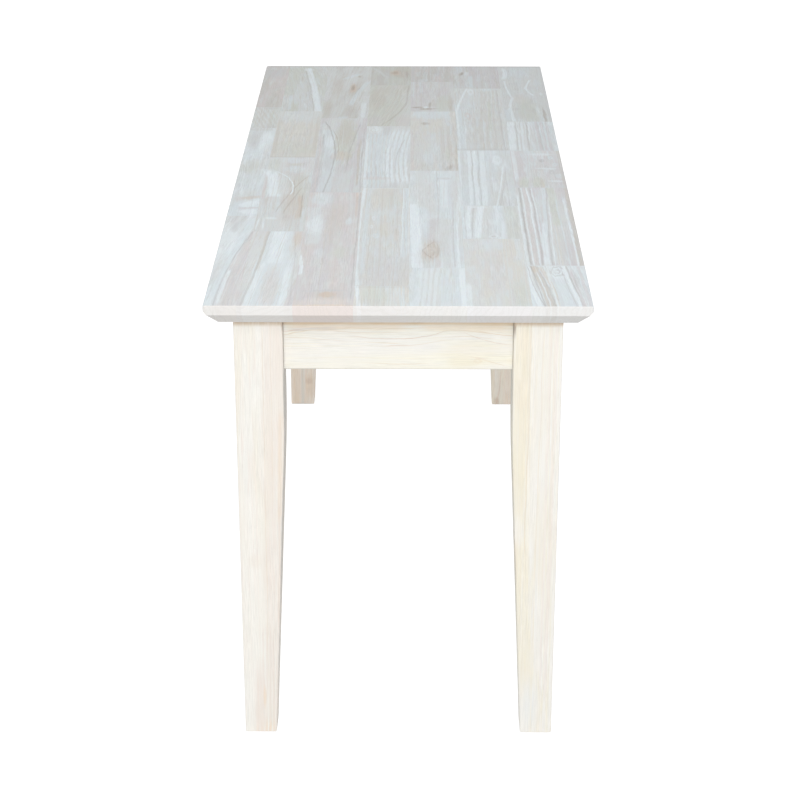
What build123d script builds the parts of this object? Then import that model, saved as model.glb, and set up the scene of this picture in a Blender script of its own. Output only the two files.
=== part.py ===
from build123d import *
import os
from math import cos, radians, sin, sqrt

# The bench stands on the XY plane with its length along X and its seat facing +Z.
# The origin is on the floor, under the middle of the seat. All sizes are in millimetres.

# Seat panel
seat_length = 914
seat_width = 356
seat_height = 457
seat_thickness = 20
seat_end_edge_height = 9
seat_end_bevel_width = 12
seat_side_edge_height = 5.5
seat_side_bevel_width = 13
seat_corner_radius = 2
seat_arris = 1
end_overhang = 16
side_overhang = 26

# Staves of the seat: where the rows meet, as shares of the width from the back edge,
# and where the staves of each row meet, as shares of the length from the left end
row_edge_shares = [0, 0.087, 0.230, 0.385, 0.528, 0.677, 0.843, 1]
row_joint_shares = [
    [0.296, 0.667, 0.771],
    [0.240, 0.532, 0.750],
    [0.386, 0.715],
    [0.061, 0.404, 0.677, 0.889],
    [0.118, 0.475, 0.750, 0.909],
    [0.215, 0.336, 0.564, 0.872],
    [0.126, 0.407, 0.563, 0.700],
]
finger_count = 5
finger_length = 10

# Legs
leg_size = 45
foot_size = 31
taper_start_height = 320
taper_ease_radius = 1500
leg_edge_chamfer = 2
foot_edge_chamfer = 1.5
leg_flat_width = 14

# Aprons
apron_thickness = 20
apron_height = 52
apron_setback = 10
apron_edge_chamfer = 1
leg_joint_gap = 0.6

# Corner blocks
block_thickness = 20
block_height = 40
block_bottom_gap = 5
block_leg_gap = 5
block_nose_chamfer = 3
block_tongue_width = 6
block_tongue_depth = 6
block_tongue_inset = 6
tongue_end_clearance = 0.3

# Hanger bolts, with their washers and nuts
bolt_radius = 4
bolt_leg_depth = 35
bolt_projection = 6
bolt_block_clearance = 0.5
washer_radius = 9
washer_thickness = 1.6
washer_clearance = 0.3
nut_width = 13
nut_height = 6.5

# Pocket screws that hold the seat to the aprons, and their places along the aprons
screw_radius = 2
screw_head_radius = 4
screw_head_height = 2.6
screw_grip = 20
screw_bite = 12
pocket_angle = 20
pocket_radius = 4.6
pocket_inset = 9.5
side_screw_shares = [-0.35, 0, 0.35]
end_screw_shares = [0]

# Clearances round every thread and at the end of every blind hole
thread_clearance = 0.1
bore_end_clearance = 0.5

# One overrun for every cut that has to break through a face
cut_overrun = 5

# Places worked out from the sizes above
seat_underside = seat_height - seat_thickness
end_edge_bottom = seat_height - seat_end_edge_height
side_edge_bottom = seat_height - seat_side_edge_height
leg_outer_x = seat_length / 2 - end_overhang
leg_outer_y = seat_width / 2 - side_overhang
leg_inner_x = leg_outer_x - leg_size
leg_inner_y = leg_outer_y - leg_size
foot_inner_x = leg_outer_x - foot_size
foot_inner_y = leg_outer_y - foot_size
apron_bottom = seat_underside - apron_height
apron_inner_x = leg_outer_x - apron_setback - apron_thickness
apron_inner_y = leg_outer_y - apron_setback - apron_thickness
block_bottom = apron_bottom + block_bottom_gap
fixing_height = block_bottom + block_height / 2

# Each corner block is a mitred bar. Its long faces cross the corner at two distances,
# measured along the aprons from the corner where their inner faces would meet.
leg_flat_cut = leg_flat_width / sqrt(2)
apron_corner_sum = apron_inner_x + apron_inner_y
leg_flat_sum = leg_inner_x + leg_inner_y + leg_flat_cut
block_near = apron_corner_sum - leg_flat_sum + block_leg_gap * sqrt(2)
block_far = block_near + block_thickness * sqrt(2)
tongue_place = block_far - block_tongue_inset - block_tongue_width / 2
groove_depth = block_tongue_depth + tongue_end_clearance

corners = {
    "front_left": (-1, -1),
    "front_right": (1, -1),
    "back_left": (-1, 1),
    "back_right": (1, 1),
}

# Planes of the fixings. Each faces the way that its head or nut does.
bolt_start_x = leg_inner_x + leg_flat_cut / 2
bolt_start_y = leg_inner_y + leg_flat_cut / 2
bolt_planes = [
    Plane(
        origin=(side_x * bolt_start_x, side_y * bolt_start_y, fixing_height),
        z_dir=(-side_x, -side_y, 0),
    )
    for side_x, side_y in corners.values()
]
side_apron_length = 2 * (leg_inner_x - leg_joint_gap)
end_apron_length = 2 * (leg_inner_y - leg_joint_gap)
pocket_run = sin(radians(pocket_angle))
pocket_drop = cos(radians(pocket_angle))
side_seat_screw_planes = [
    Plane(
        origin=(share * side_apron_length, side * (apron_inner_y + pocket_inset), seat_underside),
        z_dir=(0, -side * pocket_run, -pocket_drop),
    )
    for side in (-1, 1)
    for share in side_screw_shares
]
end_seat_screw_planes = [
    Plane(
        origin=(side * (apron_inner_x + pocket_inset), share * end_apron_length, seat_underside),
        z_dir=(-side * pocket_run, 0, -pocket_drop),
    )
    for side in (-1, 1)
    for share in end_screw_shares
]


def raised(planes, distance):
    """The same planes, moved towards the side that they face."""
    return [plane.offset(distance) for plane in planes]


def at_corner(piece, side_x, side_y):
    """A piece modelled at the back right corner, mirrored to the corner that is asked for."""
    if side_x < 0:
        piece = piece.mirror(Plane.YZ)
    if side_y < 0:
        piece = piece.mirror(Plane.XZ)
    return piece


def square_end(x):
    """A stave's sawn end seen from the side, from the underside up to the seat face."""
    return [(x, seat_underside), (x, seat_height)]


def finger_joint(x):
    """A finger joint seen from the side, from the underside up to the seat face."""
    pitch = seat_thickness / finger_count
    points = [(x, seat_underside)]
    for finger in range(finger_count):
        root = seat_underside + finger * pitch
        points.append((x + finger_length, root + pitch / 2))
        points.append((x, root + pitch))
    return points


os.makedirs("parts", exist_ok=True)

# The outline of the whole glued seat: a square edge over a wide bevel underneath,
# which rises higher along the sides than at the ends
with BuildPart() as seat_panel:
    with BuildSketch(Plane.XZ.offset(-seat_width / 2)):
        with BuildLine():
            Polyline(
                (-seat_length / 2, seat_height),
                (-seat_length / 2, end_edge_bottom),
                (-seat_length / 2 + seat_end_bevel_width, seat_underside),
                (seat_length / 2 - seat_end_bevel_width, seat_underside),
                (seat_length / 2, end_edge_bottom),
                (seat_length / 2, seat_height),
                close=True,
            )
        make_face()
    extrude(amount=seat_width)
    with BuildSketch(Plane.YZ.offset(-seat_length / 2)):
        with BuildLine():
            Polyline(
                (-seat_width / 2, seat_height),
                (-seat_width / 2, side_edge_bottom),
                (-seat_width / 2 + seat_side_bevel_width, seat_underside),
                (seat_width / 2 - seat_side_bevel_width, seat_underside),
                (seat_width / 2, side_edge_bottom),
                (seat_width / 2, seat_height),
                close=True,
            )
        make_face()
    extrude(amount=seat_length, mode=Mode.INTERSECT)
    with BuildSketch(Plane.XY.offset(seat_underside)):
        RectangleRounded(seat_length, seat_width, seat_corner_radius)
    extrude(amount=seat_thickness, mode=Mode.INTERSECT)
    chamfer(seat_panel.edges().group_by(Axis.Z)[-1], length=seat_arris)

# The staves that the seat is glued up from, finger-jointed end to end in each row
for row, joint_shares in enumerate(row_joint_shares):
    back_y = seat_width / 2 - row_edge_shares[row] * seat_width
    front_y = seat_width / 2 - row_edge_shares[row + 1] * seat_width
    ends = [square_end(-seat_length / 2)]
    for share in joint_shares:
        ends.append(finger_joint(-seat_length / 2 + share * seat_length))
    ends.append(square_end(seat_length / 2))
    for letter, left_end, right_end in zip("abcdef", ends, ends[1:]):
        with BuildPart() as stave:
            with BuildSketch(Plane.XZ.offset(-back_y)):
                with BuildLine():
                    Polyline(*left_end, *reversed(right_end), close=True)
                make_face()
            extrude(amount=back_y - front_y)
            add(seat_panel.part, mode=Mode.INTERSECT)
            with Locations(*raised(side_seat_screw_planes + end_seat_screw_planes, cut_overrun)):
                Hole(
                    radius=screw_radius + thread_clearance,
                    depth=cut_overrun + screw_bite + bore_end_clearance,
                )
        stave.part.label = f"seat_stave_{row + 1}{letter}"
        export_step(stave.part, f"parts/{stave.part.label}.step")

# The leg: square at the top, tapered on its two inner faces, with a flat planed on the
# inner corner where the hanger bolt goes in
with BuildPart() as back_right_leg:
    with BuildSketch(Plane.XZ.offset(-leg_outer_y)) as front_view:
        with BuildLine():
            Polyline(
                (leg_outer_x, 0),
                (leg_outer_x, seat_underside),
                (leg_inner_x, seat_underside),
                (leg_inner_x, taper_start_height),
                (foot_inner_x, 0),
                close=True,
            )
        make_face()
        taper_corner = front_view.vertices().sort_by_distance((leg_inner_x, taper_start_height))[0]
        fillet(taper_corner, radius=taper_ease_radius)
    extrude(amount=leg_size)
    with BuildSketch(Plane.YZ.offset(leg_outer_x)) as end_view:
        with BuildLine():
            Polyline(
                (leg_outer_y, 0),
                (leg_outer_y, seat_underside),
                (leg_inner_y, seat_underside),
                (leg_inner_y, taper_start_height),
                (foot_inner_y, 0),
                close=True,
            )
        make_face()
        taper_corner = end_view.vertices().sort_by_distance((leg_inner_y, taper_start_height))[0]
        fillet(taper_corner, radius=taper_ease_radius)
    extrude(amount=-leg_size, mode=Mode.INTERSECT)
    top_face = back_right_leg.faces().sort_by(Axis.Z)[-1]
    foot_face = back_right_leg.faces().sort_by(Axis.Z)[0]
    level_edges = top_face.edges() + foot_face.edges()
    long_edges = [
        edge for edge in back_right_leg.edges()
        if edge.length > leg_size and edge not in level_edges
    ]
    chamfer(long_edges, length=leg_edge_chamfer)
    chamfer(back_right_leg.faces().sort_by(Axis.Z)[0].edges(), length=foot_edge_chamfer)
    with BuildSketch(Plane.XY.offset(block_bottom)):
        with BuildLine():
            Polyline(
                (leg_inner_x - cut_overrun, leg_inner_y - cut_overrun),
                (leg_inner_x + leg_flat_cut + cut_overrun, leg_inner_y - cut_overrun),
                (leg_inner_x - cut_overrun, leg_inner_y + leg_flat_cut + cut_overrun),
                close=True,
            )
        make_face()
    extrude(amount=seat_underside - block_bottom, mode=Mode.SUBTRACT)
    with Locations(raised(bolt_planes, cut_overrun)[-1]):
        Hole(
            radius=bolt_radius + thread_clearance,
            depth=cut_overrun + bolt_leg_depth + bore_end_clearance,
        )

for corner, (side_x, side_y) in corners.items():
    with BuildPart() as leg:
        add(at_corner(back_right_leg.part, side_x, side_y))
    leg.part.label = f"leg_{corner}"
    export_step(leg.part, f"parts/{leg.part.label}.step")

# The long aprons, with a groove near each end for the corner blocks' tongues and
# pocket holes for the seat screws, all on their inner faces
for name, side in (("front", -1), ("back", 1)):
    with BuildPart() as side_apron:
        with BuildSketch(Plane.XY.offset(apron_bottom)):
            with Locations((0, side * (apron_inner_y + apron_thickness / 2))):
                Rectangle(side_apron_length, apron_thickness)
        extrude(amount=apron_height)
        chamfer(side_apron.edges().filter_by(Axis.X).group_by(Axis.Z)[0], length=apron_edge_chamfer)
        with BuildSketch(Plane.XY.offset(apron_bottom)):
            for end in (-1, 1):
                with Locations((end * (apron_inner_x - tongue_place), side * apron_inner_y)):
                    Rectangle(block_tongue_width, 2 * groove_depth)
        extrude(amount=apron_height, mode=Mode.SUBTRACT)
        with Locations(*raised(side_seat_screw_planes, apron_height)):
            CounterBoreHole(
                radius=screw_radius + thread_clearance,
                counter_bore_radius=pocket_radius,
                counter_bore_depth=apron_height - screw_grip,
                depth=apron_height + cut_overrun,
            )
    side_apron.part.label = f"apron_{name}"
    export_step(side_apron.part, f"parts/{side_apron.part.label}.step")

# The short aprons, with the same grooves and pocket holes
for name, side in (("left", -1), ("right", 1)):
    with BuildPart() as end_apron:
        with BuildSketch(Plane.XY.offset(apron_bottom)):
            with Locations((side * (apron_inner_x + apron_thickness / 2), 0)):
                Rectangle(apron_thickness, end_apron_length)
        extrude(amount=apron_height)
        chamfer(end_apron.edges().filter_by(Axis.Y).group_by(Axis.Z)[0], length=apron_edge_chamfer)
        with BuildSketch(Plane.XY.offset(apron_bottom)):
            for end in (-1, 1):
                with Locations((side * apron_inner_x, end * (apron_inner_y - tongue_place))):
                    Rectangle(2 * groove_depth, block_tongue_width)
        extrude(amount=apron_height, mode=Mode.SUBTRACT)
        with Locations(*raised(end_seat_screw_planes, apron_height)):
            CounterBoreHole(
                radius=screw_radius + thread_clearance,
                counter_bore_radius=pocket_radius,
                counter_bore_depth=apron_height - screw_grip,
                depth=apron_height + cut_overrun,
            )
    end_apron.part.label = f"apron_{name}"
    export_step(end_apron.part, f"parts/{end_apron.part.label}.step")

# The corner block: a bar mitred between two aprons, with a tongue in each of them,
# bored for the hanger bolt that pulls the leg into the corner
with BuildPart() as back_right_block:
    with BuildSketch(Plane.XY.offset(block_bottom)) as block_plan:
        with BuildLine():
            Polyline(
                (apron_inner_x, apron_inner_y - block_near),
                (apron_inner_x, apron_inner_y - block_far),
                (apron_inner_x - block_far, apron_inner_y),
                (apron_inner_x - block_near, apron_inner_y),
                close=True,
            )
        make_face()
        noses = block_plan.vertices().sort_by_distance((apron_inner_x, apron_inner_y))[2:]
        chamfer(noses, length=block_nose_chamfer)
        with Locations((apron_inner_x, apron_inner_y - tongue_place)):
            Rectangle(2 * block_tongue_depth, block_tongue_width)
        with Locations((apron_inner_x - tongue_place, apron_inner_y)):
            Rectangle(block_tongue_width, 2 * block_tongue_depth)
    extrude(amount=block_height)
    with Locations(raised(bolt_planes, block_leg_gap + block_thickness + cut_overrun)[-1]):
        Hole(
            radius=bolt_radius + bolt_block_clearance,
            depth=cut_overrun + block_thickness + cut_overrun,
        )

for corner, (side_x, side_y) in corners.items():
    with BuildPart() as corner_block:
        add(at_corner(back_right_block.part, side_x, side_y))
    corner_block.part.label = f"corner_block_{corner}"
    export_step(corner_block.part, f"parts/{corner_block.part.label}.step")

# The hanger bolts, one at each corner: wood thread in the leg, nut end past the block
bolt_reach = block_leg_gap + block_thickness + washer_thickness + nut_height + bolt_projection
with BuildPart() as hanger_bolts:
    with BuildSketch(*raised(bolt_planes, -bolt_leg_depth)):
        Circle(bolt_radius)
    extrude(amount=bolt_leg_depth + bolt_reach)
hanger_bolts.part.label = "hanger_bolts"
export_step(hanger_bolts.part, "parts/hanger_bolts.step")

with BuildPart() as bolt_washers:
    with BuildSketch(*raised(bolt_planes, block_leg_gap + block_thickness)):
        Circle(washer_radius)
        Circle(bolt_radius + washer_clearance, mode=Mode.SUBTRACT)
    extrude(amount=washer_thickness)
bolt_washers.part.label = "bolt_washers"
export_step(bolt_washers.part, "parts/bolt_washers.step")

with BuildPart() as bolt_nuts:
    with BuildSketch(*raised(bolt_planes, block_leg_gap + block_thickness + washer_thickness)):
        RegularPolygon(nut_width / 2, side_count=6, major_radius=False)
        Circle(bolt_radius + thread_clearance, mode=Mode.SUBTRACT)
    extrude(amount=nut_height)
bolt_nuts.part.label = "bolt_nuts"
export_step(bolt_nuts.part, "parts/bolt_nuts.step")

# The seat screws, driven up through the aprons' pockets into the staves
screw_head_planes = raised(side_seat_screw_planes + end_seat_screw_planes, screw_grip)
with BuildPart() as seat_screws:
    with BuildSketch(*screw_head_planes):
        Circle(screw_head_radius)
    extrude(amount=screw_head_height)
    with BuildSketch(*screw_head_planes):
        Circle(screw_radius)
    extrude(amount=-(screw_grip + screw_bite))
seat_screws.part.label = "seat_screws"
export_step(seat_screws.part, "parts/seat_screws.step")
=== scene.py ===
import math

import bmesh
import bpy
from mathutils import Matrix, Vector


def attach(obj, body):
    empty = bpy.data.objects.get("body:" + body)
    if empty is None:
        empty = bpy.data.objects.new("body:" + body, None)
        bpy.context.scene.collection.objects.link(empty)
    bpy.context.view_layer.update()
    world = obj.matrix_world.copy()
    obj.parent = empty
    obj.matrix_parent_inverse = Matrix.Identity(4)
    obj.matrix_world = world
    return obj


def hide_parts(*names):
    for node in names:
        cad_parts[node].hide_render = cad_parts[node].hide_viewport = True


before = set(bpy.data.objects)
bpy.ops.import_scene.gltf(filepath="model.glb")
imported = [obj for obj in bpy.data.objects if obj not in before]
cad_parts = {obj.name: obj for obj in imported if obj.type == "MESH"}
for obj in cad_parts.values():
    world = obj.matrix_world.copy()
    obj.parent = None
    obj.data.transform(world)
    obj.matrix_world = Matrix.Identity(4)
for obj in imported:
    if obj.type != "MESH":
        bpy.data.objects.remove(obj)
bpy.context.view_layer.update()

# Sizes of the bench, in metres, as its solids have them
seat_end = 0.457
seat_side = 0.178
seat_top = 0.457
seat_underside = 0.437
leg_outer_x = 0.441
leg_outer_y = 0.152
leg_size = 0.045
foot_size = 0.031
joint_closing = 0.0003    # the legs stand this much closer to the aprons than their solids do
taper_start = 0.320
taper_ease = 0.033
block_bottom = 0.390
leg_flat = 0.0099 + 2 * joint_closing
leg_arris = 0.0012
foot_arris = 0.0015
apron_face_x = 0.431
apron_end_y = 0.107

# Places and sizes of the fixings, in metres. Sizes across are radii, and a flat is half of a width.
fixing_height = 0.410
bolt_start_x = 0.40095
bolt_start_y = 0.11195
bolt_radius = 0.004
bolt_depth = 0.035
bolt_end = 0.0391
bolt_block_face = 0.025
bolt_shank = 0.0038
wood_thread_root = 0.0028
wood_thread_pitch = 0.0026
machine_thread_root = 0.0034
machine_thread_pitch = 0.00125
washer_hole = 0.0043
washer_radius = 0.009
washer_thickness = 0.0016
nut_bore = 0.0041
nut_mouth = 0.0046
nut_ring = 0.0062
nut_flat = 0.0065
nut_height = 0.0065
screw_tilt = math.radians(20)
screw_side_y = 0.1315
screw_side_step = 0.27678
screw_end_x = 0.4205
screw_grip = 0.020
screw_bite = 0.012
screw_radius = 0.002
screw_root = 0.0014
screw_shank = 0.0016
screw_pitch = 0.0018
screw_head_radius = 0.004
screw_head_height = 0.0026
drive_flat = 0.0013
drive_depth = 0.0017
fine_edge = 0.0002
washer_edge = 0.0003

# Camera of the photograph, worked out from the corners of the seat, the legs and the aprons
camera_lens = 96.81
camera_sensor = 36.0
camera_place = (-2.29459, -0.01457, 1.12520)
camera_pitch = 0.39222
camera_yaw = 0.00695

# Light of the studio: how strongly it fills the shade, and how much the floor glows to be white
world_fill = 0.63
floor_glow = 0.68

MM = 1000    # millimetres in a metre
FULL_TURN = 2 * math.pi


# Tones of the wood

def tone(red, green, blue):
    """A colour as a paint chart gives it, from 0 to 255, made linear for the shader."""
    channels = [c / 255 for c in (red, green, blue)]
    return tuple(c / 12.92 if c <= 0.04045 else ((c + 0.055) / 1.055) ** 2.4 for c in channels) + (1.0,)


MIST = tone(239, 248, 252)
SILVER = tone(226, 235, 239)
STONE = tone(224, 228, 228)
SAND = tone(225, 225, 220)
ROSE = tone(222, 218, 217)
MAUVE = tone(219, 218, 220)
OLIVE = tone(216, 220, 213)
UMBER = tone(210, 206, 198)
HONEY = tone(218, 204, 190)
SMOKE = tone(211, 213, 214)
ASH = tone(212, 212, 208)
DUSK = tone(182, 179, 178)
BARK = tone(170, 156, 142)
END_GRAIN = tone(246, 243, 240)

CREAM = tone(246, 241, 230)
IVORY = tone(248, 246, 240)
BLUSH = tone(243, 233, 224)
PEACH = tone(243, 222, 196)
BUTTER = tone(246, 239, 218)
TAN = tone(228, 209, 182)
CLAY = tone(215, 186, 166)
FROST = tone(240, 244, 245)
WARM = tone(253, 245, 230)
PETAL = tone(255, 243, 230)
CHALK = tone(251, 248, 241)
LINEN = tone(251, 248, 235)
# Painted shade for the top of the left apron, just under the seat
UNDER_SEAT_SHADE = tone(224, 194, 156)
SHADE = tone(216, 196, 172)
# Painted shade for the inner faces of the legs, which face each other under the bench
INNER_FACE_SHADE = tone(196, 197, 192)
WHITE = tone(255, 255, 255)
FLOOR_GREY = tone(222, 222, 222)


# Small helpers for node trees

def bare_material(name):
    """A material with an empty node tree."""
    material = bpy.data.materials.new(name)
    material.use_nodes = True
    material.node_tree.nodes.clear()
    return material, material.node_tree


def put(tree, kind, inputs=(), **settings):
    """Adds a node, sets it up and fills its sockets with values or links."""
    node = tree.nodes.new(kind)
    for name, value in settings.items():
        setattr(node, name, value)
    for key, value in dict(inputs).items():
        if isinstance(value, bpy.types.NodeSocket):
            tree.links.new(value, node.inputs[key])
        else:
            node.inputs[key].default_value = value
    return node


def sum_up(tree, operation, *values, clamp=False):
    """A Math node's result."""
    node = put(tree, "ShaderNodeMath", dict(enumerate(values)), operation=operation, use_clamp=clamp)
    return node.outputs[0]


def ramp(tree, value, low, high, start=0.0, stop=1.0):
    """A smooth step from start to stop, while the value goes from low to high."""
    sockets = {"Value": value, "From Min": low, "From Max": high, "To Min": start, "To Max": stop}
    return put(tree, "ShaderNodeMapRange", sockets, interpolation_type="SMOOTHSTEP").outputs[0]


def blend_tone(tree, share, first, second):
    """The first colour, with a share of the second laid over it."""
    return put(tree, "ShaderNodeMix", {0: share, 6: first, 7: second}, data_type="RGBA").outputs[2]


def shade_tone(tree, colour, factor):
    """The colour, made paler or darker by a factor."""
    return put(tree, "ShaderNodeVectorMath", {0: colour, "Scale": factor}, operation="SCALE").outputs[0]


def vector_sum(tree, operation, *values):
    """A Vector Math node's result."""
    return put(tree, "ShaderNodeVectorMath", dict(enumerate(values)), operation=operation).outputs[0]


def split_up(tree, vector):
    """The three parts of a vector."""
    return put(tree, "ShaderNodeSeparateXYZ", {0: vector}).outputs


def join_up(tree, parts):
    """A vector of the parts given, by number. The rest are nought."""
    return put(tree, "ShaderNodeCombineXYZ", parts).outputs[0]


def surface(tree, shader, kind="ShaderNodeOutputMaterial"):
    """Ends a tree with its shader."""
    tree.links.new(shader, tree.nodes.new(kind).inputs["Surface"])


def looked_at(tree):
    """One for a ray from the camera or by way of a glossy or clear surface, nought for the rest."""
    rays = put(tree, "ShaderNodeLightPath").outputs
    seen = sum_up(tree, "MAXIMUM", rays["Is Camera Ray"], rays["Is Glossy Ray"])
    return sum_up(tree, "MAXIMUM", seen, rays["Is Transmission Ray"])


def long_noise(tree, place, along, across, shift=0.0, detail=2.0, roughness=0.5):
    """Noise drawn out along the grain: along and across are the sizes of its marks in millimetres.
    The shift moves it to another part of the pattern."""
    stretch = (1 / along, 1 / across, 1 / across)
    offset = (shift, shift * 1.7 + 3.1, shift * 0.6 + 5.3)
    vector = vector_sum(tree, "MULTIPLY_ADD", place, stretch, offset)
    sockets = {"Vector": vector, "Scale": 1.0, "Detail": detail, "Roughness": roughness}
    return put(tree, "ShaderNodeTexNoise", sockets).outputs[0]


# Shapes that marks in the wood are made of. Each is a node group that works in millimetres,
# along the grain and across it.

def shape_group(name, numbers):
    """An empty group with a place, a raggedness and some numbers going in and a share coming out."""
    group = bpy.data.node_groups.new(name, "ShaderNodeTree")
    group.interface.new_socket(name="Place", in_out="INPUT", socket_type="NodeSocketVector")
    group.interface.new_socket(name="Ragged", in_out="INPUT", socket_type="NodeSocketFloat")
    for number in numbers:
        group.interface.new_socket(name=number, in_out="INPUT", socket_type="NodeSocketFloat")
    group.interface.new_socket(name="Share", in_out="OUTPUT", socket_type="NodeSocketFloat")
    entry = group.nodes.new("NodeGroupInput").outputs
    split = split_up(group, entry["Place"])
    return group, entry, split[0], split[1]


def edge_of(group, distance, soft):
    """One inside a mark and nought outside it, with a soft edge at a distance of one."""
    inner = sum_up(group, "SUBTRACT", 1.0, soft)
    outer = sum_up(group, "ADD", 1.0, soft)
    return ramp(group, distance, inner, outer, 1.0, 0.0)


def hold_back(group, used, wave):
    """The wave where it is used, and one elsewhere."""
    lost = sum_up(group, "MULTIPLY", used, sum_up(group, "SUBTRACT", 1.0, wave))
    return sum_up(group, "SUBTRACT", 1.0, lost)


def hand_out(group, share):
    """Ends a group with its share."""
    group.links.new(share, group.nodes.new("NodeGroupOutput").inputs["Share"])
    return group


def make_streak_shape():
    """A streak along a bent line, with its distance from that line measured in half widths.
    A pitch below 100 breaks it up into lines that far apart."""
    numbers = ["Start", "Start Across", "Stop", "Stop Across", "Bend", "Half Width", "Soft", "Feather",
               "Pitch"]
    group, entry, along, across = shape_group("streak shape", numbers)
    run = sum_up(group, "SUBTRACT", entry["Stop"], entry["Start"])
    gone = sum_up(group, "SUBTRACT", along, entry["Start"])
    part = sum_up(group, "DIVIDE", gone, run, clamp=True)
    rest = sum_up(group, "SUBTRACT", 1.0, part)
    bulge = sum_up(group, "MULTIPLY", sum_up(group, "MULTIPLY", part, rest), 4.0)
    step = sum_up(group, "SUBTRACT", entry["Stop Across"], entry["Start Across"])
    line = sum_up(group, "MULTIPLY_ADD", step, part, entry["Start Across"])
    line = sum_up(group, "MULTIPLY_ADD", entry["Bend"], bulge, line)
    away = sum_up(group, "SUBTRACT", across, line)
    widths = sum_up(group, "DIVIDE", sum_up(group, "ABSOLUTE", away), entry["Half Width"])
    widths = sum_up(group, "MULTIPLY_ADD", entry["Ragged"], 0.7, widths)
    body = edge_of(group, widths, entry["Soft"])
    before = sum_up(group, "MULTIPLY", entry["Feather"], -1.0)
    enter = ramp(group, gone, before, entry["Feather"])
    leave = ramp(group, sum_up(group, "SUBTRACT", entry["Stop"], along), before, entry["Feather"])
    share = sum_up(group, "MULTIPLY", sum_up(group, "MULTIPLY", body, enter), leave)
    turn = sum_up(group, "DIVIDE", sum_up(group, "MULTIPLY", away, FULL_TURN), entry["Pitch"])
    wave = ramp(group, sum_up(group, "SINE", turn), -0.9, 0.3)
    lined = sum_up(group, "LESS_THAN", entry["Pitch"], 100.0)
    return hand_out(group, sum_up(group, "MULTIPLY", share, hold_back(group, lined, wave)))


def make_patch_shape():
    """A soft oval, which may lean, or a set of rings in one."""
    numbers = ["Along", "Across", "Half Length", "Half Width", "Lean", "Soft", "Rings"]
    group, entry, along, across = shape_group("patch shape", numbers)
    ahead = sum_up(group, "SUBTRACT", along, entry["Along"])
    middle = sum_up(group, "MULTIPLY_ADD", ahead, entry["Lean"], entry["Across"])
    aside = sum_up(group, "SUBTRACT", across, middle)
    long_part = sum_up(group, "POWER", sum_up(group, "DIVIDE", ahead, entry["Half Length"]), 2.0)
    wide_part = sum_up(group, "POWER", sum_up(group, "DIVIDE", aside, entry["Half Width"]), 2.0)
    distance = sum_up(group, "SQRT", sum_up(group, "ADD", long_part, wide_part))
    distance = sum_up(group, "MULTIPLY_ADD", entry["Ragged"], 1.2, distance)
    body = edge_of(group, distance, entry["Soft"])
    turn = sum_up(group, "MULTIPLY", sum_up(group, "MULTIPLY", distance, entry["Rings"]), FULL_TURN)
    wave = sum_up(group, "MULTIPLY_ADD", sum_up(group, "COSINE", turn), -0.5, 0.5)
    ringed = sum_up(group, "GREATER_THAN", entry["Rings"], 0.0)
    return hand_out(group, sum_up(group, "MULTIPLY", body, hold_back(group, ringed, wave)))


streak_shape = make_streak_shape()
patch_shape = make_patch_shape()


def lay(tree, place, ragged, cover, colour, shape, numbers, mark_tone, amount):
    """Lays one mark over the colour so far. Its edge is ragged and it covers some grain lines less."""
    node = put(tree, "ShaderNodeGroup", node_tree=shape)
    tree.links.new(place, node.inputs["Place"])
    tree.links.new(ragged, node.inputs["Ragged"])
    for name, value in numbers.items():
        node.inputs[name].default_value = value
    share = sum_up(tree, "MULTIPLY", sum_up(tree, "MULTIPLY", node.outputs["Share"], amount), cover)
    return blend_tone(tree, share, colour, mark_tone)


def streak(start, stop, width, mark_tone, amount, bend=0.0, soft=0.32, feather=8.0, pitch=1000.0):
    """A streak from one point to another. Each point is millimetres along the grain and across it."""
    numbers = {
        "Start": start[0], "Start Across": start[1], "Stop": stop[0], "Stop Across": stop[1],
        "Bend": bend, "Half Width": width / 2, "Soft": soft, "Feather": feather, "Pitch": pitch,
    }
    return streak_shape, numbers, mark_tone, amount


def patch(middle, length, width, mark_tone, amount, lean=0.0, soft=0.5, rings=0.0):
    """A soft oval of that length and width."""
    numbers = {
        "Along": middle[0], "Across": middle[1], "Half Length": length / 2, "Half Width": width / 2,
        "Lean": lean, "Soft": soft, "Rings": rings,
    }
    return patch_shape, numbers, mark_tone, amount


# The wood itself

def grain_place(tree, along, across, depth):
    """Millimetres along the grain, across it and into the piece. Each is an axis, a sign and an offset."""
    axes = dict(zip("XYZ", split_up(tree, put(tree, "ShaderNodeTexCoord").outputs["Object"])))
    parts = [sum_up(tree, "MULTIPLY_ADD", axes[axis], sign * MM, offset)
             for axis, sign, offset in (along, across, depth)]
    return join_up(tree, dict(enumerate(parts)))


def wander(tree, place, seed, along, across, reach):
    """The same place, moved across the grain by a slow noise, so that straight lines become wavy."""
    noise = long_noise(tree, place, along, across, seed, detail=1.0)
    push = sum_up(tree, "MULTIPLY", sum_up(tree, "SUBTRACT", noise, 0.5), reach * 2)
    return vector_sum(tree, "ADD", place, join_up(tree, {0: sum_up(tree, "MULTIPLY", push, 2.0), 1: push}))


def follow(tree, place, start, lean, bow):
    """The same place, with grain that runs off to the side straightened: lean and bow are in
    millimetres across for each 100 millimetres along, from the start on."""
    gone = sum_up(tree, "MULTIPLY_ADD", split_up(tree, place)[0], 0.01, -start * 0.01)
    drift = sum_up(tree, "MULTIPLY", gone, sum_up(tree, "MULTIPLY_ADD", gone, bow, lean))
    return vector_sum(tree, "SUBTRACT", place, join_up(tree, {1: drift}))


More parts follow.
